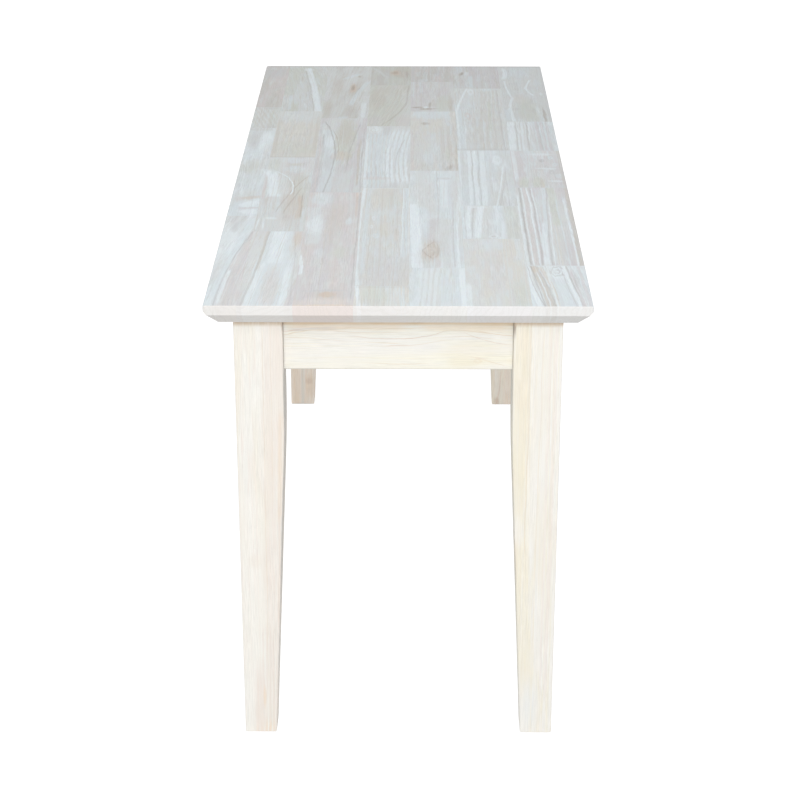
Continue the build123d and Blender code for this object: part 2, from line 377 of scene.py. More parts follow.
def growth_lines(tree, place, seed, pitch, swirl):
    """Growth lines of a flat-sawn board: even lines across the grain, bent by slow noise into loops."""
    across = split_up(tree, place)[1]
    bent = sum_up(tree, "MULTIPLY", long_noise(tree, place, 130.0, 26.0, seed + 9.4, 1.0), swirl)
    turn = sum_up(tree, "MULTIPLY", sum_up(tree, "MULTIPLY_ADD", across, 1 / pitch, bent), FULL_TURN)
    crest = ramp(tree, sum_up(tree, "SINE", turn), -0.1, 0.95)
    shown = ramp(tree, long_noise(tree, place, 80.0, 12.0, seed + 4.6, 2.0), 0.40, 0.62)
    return sum_up(tree, "MULTIPLY", crest, shown)


def sawn_end_and_underside_shade(tree, place, colour, drift, end_axis, seed, cut_tone):
    """End grain: paler, with arcs of the growth rings, where the face looks along the grain.
    Faces that look down get painted shade: they are made a little darker."""
    split = split_up(tree, place)
    from_heart = join_up(tree, {
        0: sum_up(tree, "SUBTRACT", split[1], 178.0 + 150.0 * math.sin(seed)),
        1: sum_up(tree, "SUBTRACT", split[2], 60.0 + 40.0 * math.cos(seed * 3)),
    })
    distance = put(tree, "ShaderNodeVectorMath", {0: from_heart}, operation="LENGTH").outputs["Value"]
    bent = sum_up(tree, "MULTIPLY_ADD", long_noise(tree, place, 60.0, 26.0, seed + 8.8, 3.0), 26.0, distance)
    rings = ramp(tree, sum_up(tree, "SINE", sum_up(tree, "MULTIPLY", bent, 1.3)), 0.1, 1.0)
    cells = ramp(tree, long_noise(tree, place, 40.0, 0.8, seed + 2.2, 2.0, 0.7), 0.35, 0.65, 0.97, 1.015)
    held = ramp(tree, drift, 0.0, 1.0, 0.8, 0.95)
    cut = blend_tone(tree, held, colour, cut_tone)
    cut = blend_tone(tree, sum_up(tree, "MULTIPLY", rings, 0.10), cut, UMBER)
    cut = shade_tone(tree, cut, cells)
    facing = split_up(tree, put(tree, "ShaderNodeTexCoord").outputs["Normal"])
    sawn = ramp(tree, sum_up(tree, "ABSOLUTE", facing[end_axis]), 0.40, 0.55)
    colour = blend_tone(tree, sawn, colour, cut)
    # Painted shade: faces that look down are made a little darker.
    return shade_tone(tree, colour, ramp(tree, facing[2], -0.65, -0.35, 0.92, 1.0))


def wood_finish(name, axes, seed, grounds, wash, vein, marks=(), flow=(0, 0, 0), lines=None, seams=(),
                end_axis=0, wavy=2.0, dust=0.3, pores=0.3, fine=0.085, mottle=0.05, crisp=0.28, lift=1.0,
                spread=(44, 36), cut_tone=END_GRAIN):
    """A sanded, unfinished wood. Grounds are two tones that drift into each other across the piece,
    wash and vein are a tone, an amount and the width in millimetres of the pale and dark streaks, and
    spread is how long these are. Flow is the run of the grain, lines are growth lines, and seams are
    bands across the grain: glued joints, a darker line at the seat's far end, and painted shade under the
    seat on the legs. Lift makes the whole piece paler or darker."""
    material, tree = bare_material(name)
    place = grain_place(tree, *axes)
    waved = wander(tree, follow(tree, place, *flow), seed + 11.3, 110.0, 20.0, wavy)
    waved = wander(tree, waved, seed + 17.9, 16.0, 4.0, wavy * 0.25)

    drift = ramp(tree, long_noise(tree, waved, 160.0, 20.0, seed, 2.0), 0.36, 0.64)
    colour = blend_tone(tree, drift, grounds[0], grounds[1])
    pale = ramp(tree, long_noise(tree, waved, spread[0], wash[2], seed + 3.7, 2.5, 0.5), 0.48, 0.66)
    colour = blend_tone(tree, sum_up(tree, "MULTIPLY", pale, wash[1]), colour, wash[0])
    dark = ramp(tree, long_noise(tree, waved, spread[1], vein[2], seed + 7.9, 3.0, 0.55), 0.52, 0.72)
    colour = blend_tone(tree, sum_up(tree, "MULTIPLY", dark, vein[1]), colour, vein[0])
    if lines:
        shown = sum_up(tree, "MULTIPLY", growth_lines(tree, waved, seed, lines[2], lines[3]), lines[1])
        colour = blend_tone(tree, shown, colour, lines[0])

    rough_place = wander(tree, wander(tree, place, seed + 29.0, 60.0, 18.0, 1.4), seed + 23.1, 12.0, 4.0, 0.7)
    ragged = sum_up(tree, "SUBTRACT", long_noise(tree, place, 24.0, 2.2, seed + 31.7, 3.0, 0.6), 0.5)
    cover = ramp(tree, long_noise(tree, place, 34.0, 3.0, seed + 37.3, 3.0, 0.6), 0.30, 0.60, 0.72, 1.0)
    for shape, numbers, mark_tone, amount in marks:
        colour = lay(tree, rough_place, ragged, cover, colour, shape, numbers, mark_tone, amount)

    thin = long_noise(tree, waved, 260.0, 1.7, seed + 51.3, 1.5)
    colour = blend_tone(tree, ramp(tree, thin, 0.60, 0.66, 0.0, crisp), colour, wash[0])
    colour = blend_tone(tree, ramp(tree, thin, 0.40, 0.35, 0.0, crisp), colour, vein[0])
    grain = long_noise(tree, waved, 22.0, 0.9, seed + 5.1, 4.0, 0.7)
    calm = ramp(tree, long_noise(tree, waved, 90.0, 16.0, seed + 61.7, 2.0), 0.38, 0.62, 0.4, 1.3)
    grain_share = sum_up(tree, "MULTIPLY", sum_up(tree, "SUBTRACT", grain, 0.5), calm)
    shade = ramp(tree, grain_share, -0.22, 0.22, lift - fine, lift + fine)
    colour = shade_tone(tree, colour, shade)
    wide = vector_sum(tree, "MULTIPLY", place, (0.05, 0.11, 0.11))
    tint = put(tree, "ShaderNodeTexNoise", {"Vector": wide, "Scale": 1.0, "Detail": 3.0}).outputs[1]
    tint = vector_sum(tree, "MULTIPLY_ADD", tint, (mottle,) * 3, (1.0 - mottle / 2,) * 3)
    colour = vector_sum(tree, "MULTIPLY", colour, tint)
    vessels = ramp(tree, long_noise(tree, waved, 9.0, 0.45, seed + 1.9, 1.0), 0.64, 0.76)
    colour = blend_tone(tree, sum_up(tree, "MULTIPLY", vessels, pores), colour, DUSK)
    filled = ramp(tree, long_noise(tree, waved, 7.0, 0.6, seed + 41.9, 2.0), 0.66, 0.78)
    colour = blend_tone(tree, sum_up(tree, "MULTIPLY", filled, dust), colour, FROST)

    # Bands across the grain: glued joints, and on the legs the painted shade under the seat.
    for where, width, amount, seam_and_shade_tone in seams:
        gap = sum_up(tree, "ABSOLUTE", sum_up(tree, "SUBTRACT", split_up(tree, place)[0], where))
        seam_and_shade_share = ramp(tree, gap, width * 0.3, width, amount, 0.0)
        colour = blend_tone(tree, sum_up(tree, "MULTIPLY", seam_and_shade_share, cover), colour, seam_and_shade_tone)
    colour = sawn_end_and_underside_shade(tree, place, colour, drift, end_axis, seed, cut_tone)

    gloss = ramp(tree, grain, 0.3, 0.7, 0.52, 0.66)
    height = sum_up(tree, "SUBTRACT", grain, vessels)
    bump = put(tree, "ShaderNodeBump", {"Strength": 0.25, "Distance": 0.0002, "Height": height}).outputs[0]
    sockets = {"Base Color": colour, "Roughness": gloss, "Normal": bump, "Specular IOR Level": 0.3}
    surface(tree, put(tree, "ShaderNodeBsdfPrincipled", sockets).outputs[0])
    return material


def wear(piece, material):
    """Gives a piece one material."""
    piece.data.materials.clear()
    piece.data.materials.append(material)


# The staves of the seat. Their marks are in millimetres from the left end and from the back edge.

stave_axes = (("X", 1, seat_end * MM), ("Y", -1, seat_side * MM), ("Z", 1, -seat_top * MM))


def stave(grounds, wash, vein, marks, **habit):
    """What one stave looks like. The habit is the run of its grain, its growth lines, its seams and
    how pale it is."""
    return dict(grounds=grounds, wash=wash, vein=vein, marks=marks, **habit)


staves = {
    "1a": stave((STONE, SILVER), (MIST, 0.5, 7), (SMOKE, 0.45, 3), [
        patch((190, 7), 120, 20, MIST, 0.6),
        patch((262, 13), 60, 18, SMOKE, 0.7),
        patch((228, 12), 26, 7, SMOKE, 0.7),
        streak((212, 24), (264, 28), 8, SILVER, 0.8),
        streak((-20, 22), (222, 42), 21, ROSE, 0.8, bend=-6, soft=0.2),
        streak((-20, 27), (190, 38), 8, MAUVE, 0.6, bend=-6, pitch=4.2),
        streak((-10, 9.5), (228, 33), 1.7, DUSK, 0.42, bend=-6),
        streak((5, 13.5), (100, 17), 3.5, MIST, 0.75, bend=-1),
    ], flow=(0, 2, 3.2)),
    "1b": stave((STONE, SILVER), (MIST, 0.6, 8), (SMOKE, 0.6, 5), [
        patch((300, 22), 56, 18, MIST, 0.6),
        patch((312, 21), 20, 19, MIST, 0.98, soft=0.2, lean=0.4),
        patch((284, 22), 14, 20, MIST, 0.9, soft=0.3, lean=-0.6),
        patch((298, 20), 7, 22, MAUVE, 0.7, soft=0.4, lean=0.5),
        patch((292, 6), 40, 10, SILVER, 0.8),
        patch((334, 21), 12, 18, HONEY, 0.5, lean=0.7),
        patch((330, 8), 16, 10, ROSE, 0.5),
        patch((390, 16), 70, 26, SILVER, 0.7),
        patch((450, 12), 50, 24, OLIVE, 0.5),
        patch((500, 18), 40, 12, SILVER, 0.8),
        patch((556, 22), 66, 14, MIST, 0.8),
        patch((560, 9), 70, 12, SMOKE, 0.6),
        patch((604, 12), 14, 30, UMBER, 0.35),
    ], wavy=3.2, lift=0.985),
    "1c": stave((STONE, OLIVE), (SILVER, 0.45, 6), (UMBER, 0.4, 3), [
        streak((606, 28), (704, 4), 36, UMBER, 0.35, pitch=6.3),
        patch((700, 20), 12, 16, DUSK, 0.24),
        patch((614, 24), 16, 12, SMOKE, 0.5),
    ]),
    "1d": stave((ROSE, ASH), (STONE, 0.65, 6), (UMBER, 0.45, 3), [
        patch((880, 12), 60, 26, SMOKE, 0.6),
        patch((897, 12), 10, 10, STONE, 0.8),
        patch((760, 24), 80, 8, UMBER, 0.35),
    ]),
    "2a": stave((MAUVE, STONE), (STONE, 0.55, 5), (UMBER, 0.5, 3), [
        streak((-20, 53), (140, 59), 37, SILVER, 0.9, soft=0.15, feather=26, bend=1),
        streak((80, 58), (221, 60), 24, SILVER, 0.9, soft=0.15, feather=3),
        streak((120, 58), (221, 59), 14, MIST, 0.6, feather=4),
        streak((0, 71), (110, 73), 6, MIST, 0.6),
        streak((-20, 38), (120, 46), 7, MIST, 0.55),
        patch((54, 58), 116, 18, STONE, 0.9, soft=0.25),
        patch((46, 58), 90, 12, ROSE, 0.5, soft=0.5),
        streak((-10, 33.5), (222, 47.5), 2.0, DUSK, 0.39, bend=1.4),
        streak((100, 43), (222, 46), 3, UMBER, 0.5),
        streak((-10, 78), (218, 73.5), 1.4, DUSK, 0.21, bend=2),
        patch((196, 77), 50, 8, HONEY, 0.5),
    ], flow=(0, 8, -0.6), lift=1.018),
    "2b": stave((STONE, STONE), (SILVER, 0.6, 6), (UMBER, 0.4, 4), [
        patch((240, 56), 44, 60, STONE, 0.8),
        patch((256, 64), 40, 26, ROSE, 0.4),
        streak((228, 40), (262, 39), 1.8, MIST, 0.9),
        streak((226, 33), (262, 34), 1.6, MIST, 0.7),
        patch((262, 46), 8, 12, MIST, 0.6),
        patch((345, 67), 180, 26, UMBER, 0.45, soft=0.4),
        patch((318, 67), 90, 19, HONEY, 0.3),
        patch((372, 71), 70, 14, OLIVE, 0.6),
        streak((262, 73), (340, 71), 5, HONEY, 0.5, bend=2, soft=0.6),
        streak((285, 50), (412, 77), 1.8, BARK, 0.3, bend=-3),
        streak((280, 58), (372, 73), 1.6, BARK, 0.28, bend=-1),
        streak((265, 76), (345, 74.5), 1.5, BARK, 0.38),
        streak((338, 45), (436, 34), 13, MIST, 0.95, soft=0.35, bend=2, feather=5),
        streak((345, 54), (420, 50), 12, STONE, 0.9, soft=0.4),
        streak((345, 61), (442, 34), 1.8, MIST, 0.9, bend=13, feather=4),
        streak((345, 64.5), (400, 63), 1.2, BARK, 0.34, bend=1),
        streak((330, 33), (412, 32), 4, ROSE, 0.8),
        patch((456, 63), 66, 26, MAUVE, 0.8),
        patch((440, 62), 26, 20, SILVER, 0.8),
        patch((458, 63), 10, 20, OLIVE, 0.6),
        patch((474, 60), 22, 18, SILVER, 0.7),
        patch((455, 38), 50, 12, OLIVE, 0.7),
    ]),
    "2c": stave((SAND, SAND), (STONE, 0.6, 5), (UMBER, 0.35, 3), [
        streak((500, 34), (660, 34), 4, UMBER, 0.45),
        streak((500, 79), (670, 79), 4, UMBER, 0.45),
        patch((668, 56), 60, 60, SILVER, 0.6, soft=0.6),
        patch((520, 56), 60, 40, OLIVE, 0.5),
    ], seams=[(486, 4, 0.3, DUSK)], wavy=1.2),
    "2d": stave((STONE, OLIVE), (SILVER, 0.5, 6), (UMBER, 0.45, 3), [
        streak((760, 36), (905, 42), 14, OLIVE, 0.7),
        streak((694, 41), (760, 40), 4, SILVER, 0.7),
        streak((682, 76), (899, 55), 7.5, MIST, 0.95, bend=2.2, soft=0.35, feather=4),
        streak((682, 71), (880, 52.5), 1.4, DUSK, 0.35, bend=2.2),
        streak((700, 68), (870, 49), 1.0, SMOKE, 0.6, bend=2.2),
        patch((893, 56), 16, 12, MIST, 0.7),
    ], flow=(686, -3, -3)),
    "3a": stave((MAUVE, ROSE), (STONE, 0.65, 9), (UMBER, 0.25, 5), [
        patch((29, 111), 24, 24, HONEY, 0.4, soft=0.7),
        patch((31, 112), 15, 13, HONEY, 0.8, soft=0.3),
        patch((42, 110), 5, 40, SMOKE, 0.6),
        patch((8, 110), 26, 50, BLUSH, 0.45),
        patch((1, 108), 7, 60, PEACH, 0.4),
        streak((88, 84), (145, 82), 3.6, MIST, 0.95, bend=1.5, feather=5),
        streak((180, 92), (300, 88), 14, SILVER, 0.6, bend=2),
        patch((240, 92), 50, 18, MIST, 0.6),
        patch((328, 96), 50, 20, SILVER, 0.8),
        patch((250, 112), 150, 16, UMBER, 0.35),
        patch((152, 120), 36, 16, OLIVE, 0.7),
        patch((152, 100), 30, 10, SILVER, 0.5),
        patch((252, 126), 22, 6, SILVER, 0.7),
        streak((270, 133), (353, 132), 3.4, HONEY, 0.45, soft=0.6),
        streak((20, 134.5), (353, 135.2), 1.4, DUSK, 0.42),
    ], lines=(SMOKE, 0.4, 6, 1.4)),
    "3b": stave((MAUVE, STONE), (SILVER, 0.5, 5), (SMOKE, 0.55, 3), [
        streak((353, 96), (600, 92), 14, SILVER, 0.8, bend=4, soft=0.3),
        patch((552, 97), 50, 10, MIST, 0.75),
        patch((470, 97), 60, 10, SMOKE, 0.5),
        streak((353, 86), (570, 84), 4, ROSE, 0.7, pitch=3),
        streak((430, 88), (580, 87), 1.6, DUSK, 0.35, bend=1.5),
        patch((560, 114), 180, 25, OLIVE, 0.95, soft=0.25),
        patch((590, 113), 110, 20, UMBER, 0.6, soft=0.4),
        patch((492, 111), 36, 20, HONEY, 0.45),
        patch((400, 116), 90, 24, STONE, 0.5),
        streak((350, 95), (505, 103.5), 1.8, DUSK, 0.52, bend=2.4),
        streak((500, 103.5), (636, 87), 1.9, DUSK, 0.59, bend=3.6),
        streak((505, 106), (600, 97), 1.2, BARK, 0.34, bend=3.6),
        streak((430, 117), (625, 129), 1.6, DUSK, 0.35, bend=-2),
        streak((353, 125), (600, 130), 4, MAUVE, 0.8),
        streak((380, 131), (560, 131), 3, UMBER, 0.85, bend=-0.5),
        streak((353, 134.5), (610, 134.5), 1.5, DUSK, 0.35),
    ], lift=0.965),
    "3c": stave((STONE, ASH), (STONE, 0.4, 6), (UMBER, 0.5, 4), [
        streak((612, 94), (660, 108), 13, SILVER, 0.9),
        patch((800, 96), 90, 14, UMBER, 0.5),
        patch((700, 88), 90, 8, UMBER, 0.5),
        patch((792, 118), 62, 14, UMBER, 0.7),
        patch((797, 116), 38, 7, HONEY, 0.9, soft=0.4),
        patch((799, 115.5), 24, 4, BARK, 0.72, soft=0.5),
        streak((765, 119), (800, 124), 1.6, DUSK, 0.49),
        streak((715, 115), (830, 134), 6, SILVER, 0.75, bend=-2),
        streak((654, 131), (725, 131), 6, MIST, 0.6),
        streak((845, 105), (872, 122), 9, SILVER, 0.85),
        patch((857, 123), 9, 4, BARK, 0.51),
    ], flow=(654, 6, 0), lift=0.968),
    "4a": stave((SAND, STONE), (SILVER, 0.6, 5), (UMBER, 0.3, 3), [
        streak((-20, 143), (60, 138.5), 3.8, MIST, 0.95, feather=2),
        streak((-20, 184), (56, 182), 6, SILVER, 0.7, pitch=3),
        patch((28, 156), 50, 26, OLIVE, 0.7),
    ], seams=[(53, 5, 0.12, DUSK)], lift=1.018),
    "4b": stave((STONE, SAND), (SILVER, 0.5, 8), (UMBER, 0.33, 2.5), [
        streak((56, 139), (372, 140), 3.6, MIST, 0.95, bend=-2.6, feather=2),
        streak((56, 137), (372, 136.4), 1.2, DUSK, 0.45, bend=-1.6),
        streak((90, 143.5), (372, 146), 4, SILVER, 0.7, bend=-1),
        streak((140, 182.5), (372, 184), 6, SILVER, 0.95, soft=0.25),
        streak((150, 180), (365, 181), 1.2, MIST, 0.8),
        streak((150, 186.5), (365, 187), 1.2, MIST, 0.6),
        streak((56, 172), (150, 176), 6, SILVER, 0.6, pitch=3),
        patch((90, 165), 90, 46, MAUVE, 0.5),
        patch((205, 154), 24, 10, SILVER, 0.8, rings=1.0),
        patch((235, 149), 16, 5, MIST, 0.6, rings=1.0),
        patch((262, 151), 22, 5, MIST, 0.7, rings=1.0),
        patch((270, 155), 60, 12, SILVER, 0.5),
        patch((335, 158), 70, 22, SAND, 0.7),
        patch((330, 169), 60, 5, UMBER, 0.35),
    ], seams=[(370, 3, 0.7, MIST)]),
    "4c": stave((STONE, STONE), (MIST, 0.45, 8), (SMOKE, 0.6, 3), [
        streak((369, 148), (585, 146), 22, SILVER, 0.9, pitch=4.6, bend=-1),
        streak((400, 162), (600, 160), 16, SILVER, 0.9, pitch=4.2, bend=-4, feather=16),
        streak((385, 174), (600, 179), 26, MIST, 1.0, pitch=5.2, bend=-5, soft=0.15, feather=16),
        patch((520, 176), 130, 22, SILVER, 0.5),
        streak((420, 172), (560, 181), 1.6, DUSK, 0.32, bend=-4),
        streak((369, 139), (560, 138.5), 3, MIST, 0.8),
        patch((602, 146), 26, 15, MIST, 0.85, rings=1.5),
        patch((598, 160), 40, 9, SMOKE, 0.5),
        patch((405, 152), 12, 30, ROSE, 0.5),
        patch((380, 172), 24, 6, SMOKE, 0.5),
    ], wavy=1.0),
    "4d": stave((OLIVE, STONE), (SAND, 0.45, 6), (UMBER, 0.4, 3), [
        patch((720, 156), 190, 50, OLIVE, 0.8),
        patch((742, 147), 90, 22, UMBER, 0.7),
        patch((800, 165), 60, 40, UMBER, 0.35),
        streak((619, 178), (720, 189), 13, STONE, 0.7, bend=3, soft=0.5),
        patch((640, 180), 50, 18, ROSE, 0.6),
        streak((622, 153), (740, 183), 2.4, BARK, 0.32, bend=6, soft=0.8),
        streak((740, 183), (815, 186), 2.2, BARK, 0.3, soft=0.8),
        streak((640, 150), (790, 175), 12, UMBER, 0.35, bend=6, pitch=5.3),
        patch((640, 145), 50, 16, MAUVE, 0.5),
    ], flow=(619, 10, 2)),
    "4e": stave((ASH, OLIVE), (STONE, 0.45, 6), (UMBER, 0.45, 4), [
        patch((885, 178), 60, 26, UMBER, 0.7),
        patch((876, 168), 26, 12, HONEY, 0.8, soft=0.6),
        patch((877, 167), 14, 7, BARK, 0.4, soft=0.6),
        patch((868, 183), 34, 3.6, BARK, 0.3),
        patch((860, 174), 12, 16, UMBER, 0.6),
        streak((852, 158), (905, 140), 5, STONE, 0.7),
        streak((850, 163), (905, 146), 1.4, SMOKE, 0.6),
    ]),
    "5a": stave((STONE, SILVER), (SILVER, 0.6, 6), (OLIVE, 0.45, 4), [
        streak((-20, 203), (108, 209), 20, MIST, 0.5, pitch=5),
        streak((-20, 226), (108, 228), 16, SILVER, 0.6, pitch=5),
        streak((-20, 238), (108, 238), 5.5, MIST, 0.9),
    ]),
    "5b": stave((SILVER, STONE), (MIST, 0.45, 7), (MAUVE, 0.45, 4), [
        streak((108, 196), (312, 192), 11, MIST, 0.98, soft=0.2, feather=3),
        streak((108, 225), (330, 224), 10, STONE, 0.6),
        streak((180, 209), (262, 212), 8, MAUVE, 0.9, soft=0.8),
        patch((160, 209.5), 70, 23, UMBER, 0.42, soft=0.5, lean=0.06),
        patch((158, 209), 56, 17, HONEY, 0.5, soft=0.4, lean=0.06),
        patch((158, 210), 52, 16, BARK, 0.15, rings=2.0, soft=0.3),
        patch((150, 211.5), 20, 4, BARK, 0.2, lean=0.3),
        streak((158, 200.5), (188, 212.5), 1.6, BARK, 0.28, feather=6, bend=-1, soft=0.6),
        streak((134, 211.5), (162, 200.5), 1.6, BARK, 0.26, feather=6, bend=-1, soft=0.6),
        streak((138, 213.5), (182, 216), 1.4, BARK, 0.22, feather=6, bend=2, soft=0.6),
        patch((122, 215), 36, 8, ROSE, 0.6),
        streak((262, 226), (425, 224), 17, SILVER, 0.95, soft=0.6, bend=-2),
        patch((412, 212), 34, 44, SILVER, 0.6),
        streak((300, 224), (410, 224), 7, MIST, 0.55),
        streak((106, 236), (320, 238), 2.2, MIST, 0.9, bend=-1),
        streak((106, 232), (320, 233), 1.4, SMOKE, 0.6, bend=-1),
        streak((240, 217), (430, 217), 1.4, SMOKE, 0.6),
        streak((300, 202), (430, 200), 14, STONE, 0.7),
        patch((404, 225), 8, 14, SMOKE, 0.5),
    ]),
    "5c": stave((STONE, SAND), (SILVER, 0.5, 7), (MAUVE, 0.5, 4), [
        streak((434, 231), (620, 230), 20, UMBER, 0.4, pitch=7.3),
        streak((434, 239.5), (570, 239.5), 1.6, BARK, 0.16),
        patch((447, 231), 22, 7, BARK, 0.38, lean=0.3),
        patch((500, 230), 60, 5, OLIVE, 0.7),
        patch((480, 208), 60, 12, SILVER, 0.7),
        patch((448, 205), 40, 16, UMBER, 0.3),
        patch((545, 212), 100, 14, SILVER, 0.4),
        patch((631, 205), 12, 10, BARK, 0.47),
        patch((672, 212), 44, 44, SILVER, 0.9, soft=0.3),
        streak((434, 191), (600, 190), 3, ROSE, 0.6),
    ]),
    "5d": stave((MAUVE, STONE), (STONE, 0.5, 7), (UMBER, 0.45, 4), [
        patch((705, 196), 7, 14, BARK, 0.55, lean=-0.4),
        patch((697, 206), 8, 16, BARK, 0.55),
        patch((699, 217), 6, 10, BARK, 0.3),
        patch((716, 211), 26, 3.2, BARK, 0.55, lean=0.06),
        patch((705, 206), 10, 5, MIST, 0.95),
        patch((722, 227), 70, 20, OLIVE, 0.8),
        patch((720, 237), 60, 4, UMBER, 0.7),
        streak((755, 191), (831, 190), 4, SILVER, 0.6, pitch=3),
        streak((775, 201), (831, 200), 4, SILVER, 0.7),
    ]),
    "5e": stave((ROSE, ASH), (SILVER, 0.45, 6), (MAUVE, 0.45, 4), [
        streak((835, 190), (914, 191), 4, SMOKE, 0.6),
        patch((878, 222), 26, 8, SMOKE, 0.6),
        patch((836, 203), 20, 12, SILVER, 0.6),
    ]),
    "6a": stave((STONE, SAND), (SILVER, 0.5, 7), (MAUVE, 0.35, 3), [
        streak((-20, 243.5), (60, 243), 5, MIST, 0.7),
        patch((30, 291), 80, 16, OLIVE, 0.7),
        patch((100, 270), 110, 20, MAUVE, 0.4),
        patch((180, 262), 40, 30, SILVER, 0.5),
    ], wavy=1.4),
    "6b": stave((STONE, SILVER), (MIST, 0.45, 6), (SMOKE, 0.4, 3), [
        streak((203, 247), (307, 249.5), 4.2, MIST, 0.98, soft=0.3, feather=4),
        streak((200, 256), (303, 261), 6.8, MIST, 0.98, soft=0.25, feather=3),
        streak((205, 251), (300, 254), 1.4, DUSK, 0.35),
        streak((210, 276.5), (307, 278), 1.6, MIST, 0.6),
        patch((205, 272), 14, 13, MIST, 0.9, rings=1.0),
        patch((205, 272), 7, 5, DUSK, 0.35),
        patch((302, 257), 12, 26, MIST, 0.6, rings=1.0),
        streak((197, 292), (307, 291), 14, OLIVE, 0.6),
    ]),
    "6c": stave((STONE, SILVER), (MIST, 0.4, 6), (SMOKE, 0.4, 3), [
        streak((307, 242), (516, 242.5), 2.6, MIST, 0.8),
        streak((307, 252), (516, 254), 3.4, MIST, 0.9),
        streak((307, 258.5), (516, 259.5), 4.4, MIST, 0.95),
        streak((307, 266.5), (516, 268.5), 5.4, MIST, 0.8),
        streak((307, 255.5), (516, 256.6), 1.1, DUSK, 0.28),
        streak((307, 262.6), (516, 263.6), 1.3, DUSK, 0.32),
        streak((307, 279), (455, 290), 1.8, MIST, 0.9, bend=1),
        streak((307, 282), (450, 293), 1.2, SMOKE, 0.7, bend=1),
        patch((478, 284), 50, 14, MIST, 0.9, rings=1.0),
        streak((480, 278), (516, 278), 1.8, MIST, 0.8),
        streak((330, 274), (480, 276), 3, STONE, 0.6),
    ], wavy=0.8),
    "6d": stave((STONE, STONE), (SILVER, 0.5, 5), (UMBER, 0.35, 3), [
        streak((516, 246), (720, 244), 9, SILVER, 0.9, bend=1),
        streak((516, 244), (700, 243), 2.6, MIST, 0.7),
        streak((520, 251), (640, 252), 2, MIST, 0.6),
        streak((680, 243), (802, 259), 2.8, MIST, 0.9, bend=-2),
        patch((778, 262), 44, 9, MIST, 0.85, rings=1.0),
        streak((700, 264), (770, 264), 2, SILVER, 0.6),
        patch((690, 256), 110, 13, SILVER, 0.6),
        patch((664, 257), 56, 12, ROSE, 0.9, rings=1.2),
        streak((520, 275), (650, 277), 32, UMBER, 0.35, pitch=7.7),
        streak((640, 280), (790, 284), 24, UMBER, 0.35, pitch=5),
        streak((600, 282), (730, 283), 5, OLIVE, 0.7),
        streak((516, 295), (790, 294), 2, DUSK, 0.28),
        patch((790, 281), 16, 14, SILVER, 0.6),
    ], seams=[(519, 8, 0.15, DUSK)], wavy=1.2, lift=1.015),
    "6e": stave((STONE, MAUVE), (SILVER, 0.5, 6), (UMBER, 0.45, 4), [
        patch((872, 252), 18, 5, BARK, 0.68, lean=0.15),
        patch((872, 259), 22, 5, MIST, 0.7),
        streak((800, 262), (860, 263), 7, SILVER, 0.8),
        streak((880, 250), (914, 250), 8, SILVER, 0.6),
        patch((860, 285), 90, 20, MAUVE, 0.6),
    ]),
    "7a": stave((STONE, SILVER), (MIST, 0.45, 5), (MAUVE, 0.45, 3), [
        streak((-20, 311), (118, 300.5), 4.6, MIST, 0.98, bend=-2.4, feather=3),
        streak((20, 301), (118, 298.6), 2.4, SILVER, 0.9),
        streak((-20, 319), (118, 305), 8, UMBER, 0.75, bend=2),
        streak((-20, 315), (118, 303), 1.6, DUSK, 0.56, bend=0),
        streak((-20, 322), (118, 309), 1.4, DUSK, 0.35, bend=2),
        streak((-20, 317.5), (100, 308), 1.2, MIST, 0.8, bend=2),
        streak((-20, 316), (118, 300), 1.2, DUSK, 0.5, bend=-2.4),
        streak((-20, 329.5), (84, 322), 1.3, DUSK, 0.45, bend=2),
        patch((60, 330), 110, 20, SILVER, 0.8, soft=0.4),
        streak((-20, 326), (112, 313), 3.6, HONEY, 0.5, bend=2),
        streak((-20, 333), (70, 329), 13, SILVER, 0.9, soft=0.3),
        streak((-20, 324.5), (80, 319), 1.6, MIST, 0.8),
        patch((97, 328), 42, 20, MIST, 0.8),
        patch((98, 328.5), 30, 15, DUSK, 0.52, rings=1.6, soft=0.2),
        patch((98, 327), 10, 5, MIST, 0.6),
        patch((104, 308), 20, 6, HONEY, 0.6),
        streak((-20, 350), (118, 338), 1.7, DUSK, 0.49, bend=-1.5),
        streak((-20, 346.8), (118, 335.6), 3.0, MIST, 0.98, bend=-1.5, soft=0.3),
        streak((-20, 349), (100, 341), 3.0, MAUVE, 0.9),
        streak((-20, 343), (118, 332.5), 1.4, DUSK, 0.28, bend=-1.5),
        patch((70, 345), 60, 5, SMOKE, 0.6),
        streak((-20, 354), (118, 349), 3, MAUVE, 0.6),
    ], seams=[(116, 4, 0.5, MIST)], flow=(0, -8, 0)),
    "7b": stave((STONE, MAUVE), (SILVER, 0.5, 5), (MAUVE, 0.45, 3), [
        streak((115, 301.5), (345, 301), 2.2, MIST, 0.95),
        streak((115, 304.5), (372, 304), 2.0, DUSK, 0.6),
        streak((115, 310), (372, 309), 4, ROSE, 0.7),
        streak((115, 307), (372, 306.6), 1.3, MIST, 0.9),
        streak((115, 313.4), (372, 312), 1.8, MIST, 0.95, bend=1),
        streak((115, 318.4), (372, 317), 1.4, MIST, 0.9, bend=1),
        streak((115, 328), (372, 335.6), 1.2, MIST, 0.9, bend=-1),
        streak((115, 316), (372, 315), 1.6, DUSK, 0.39, bend=1),
        streak((115, 321), (250, 325), 5, MIST, 0.95, bend=-1, soft=0.3),
        streak((220, 325), (372, 330), 4, SILVER, 0.9),
        streak((115, 325), (372, 333), 1.4, DUSK, 0.32, bend=-1),
        streak((160, 320), (340, 322), 5, SILVER, 0.6, pitch=2.6),
        streak((240, 338), (372, 337), 9, OLIVE, 0.85),
        streak((115, 334), (250, 335), 6, SAND, 0.6, pitch=3.4),
        streak((115, 342), (330, 341), 2, SILVER, 0.7),
        streak((115, 350.5), (330, 349), 2.2, MIST, 0.95),
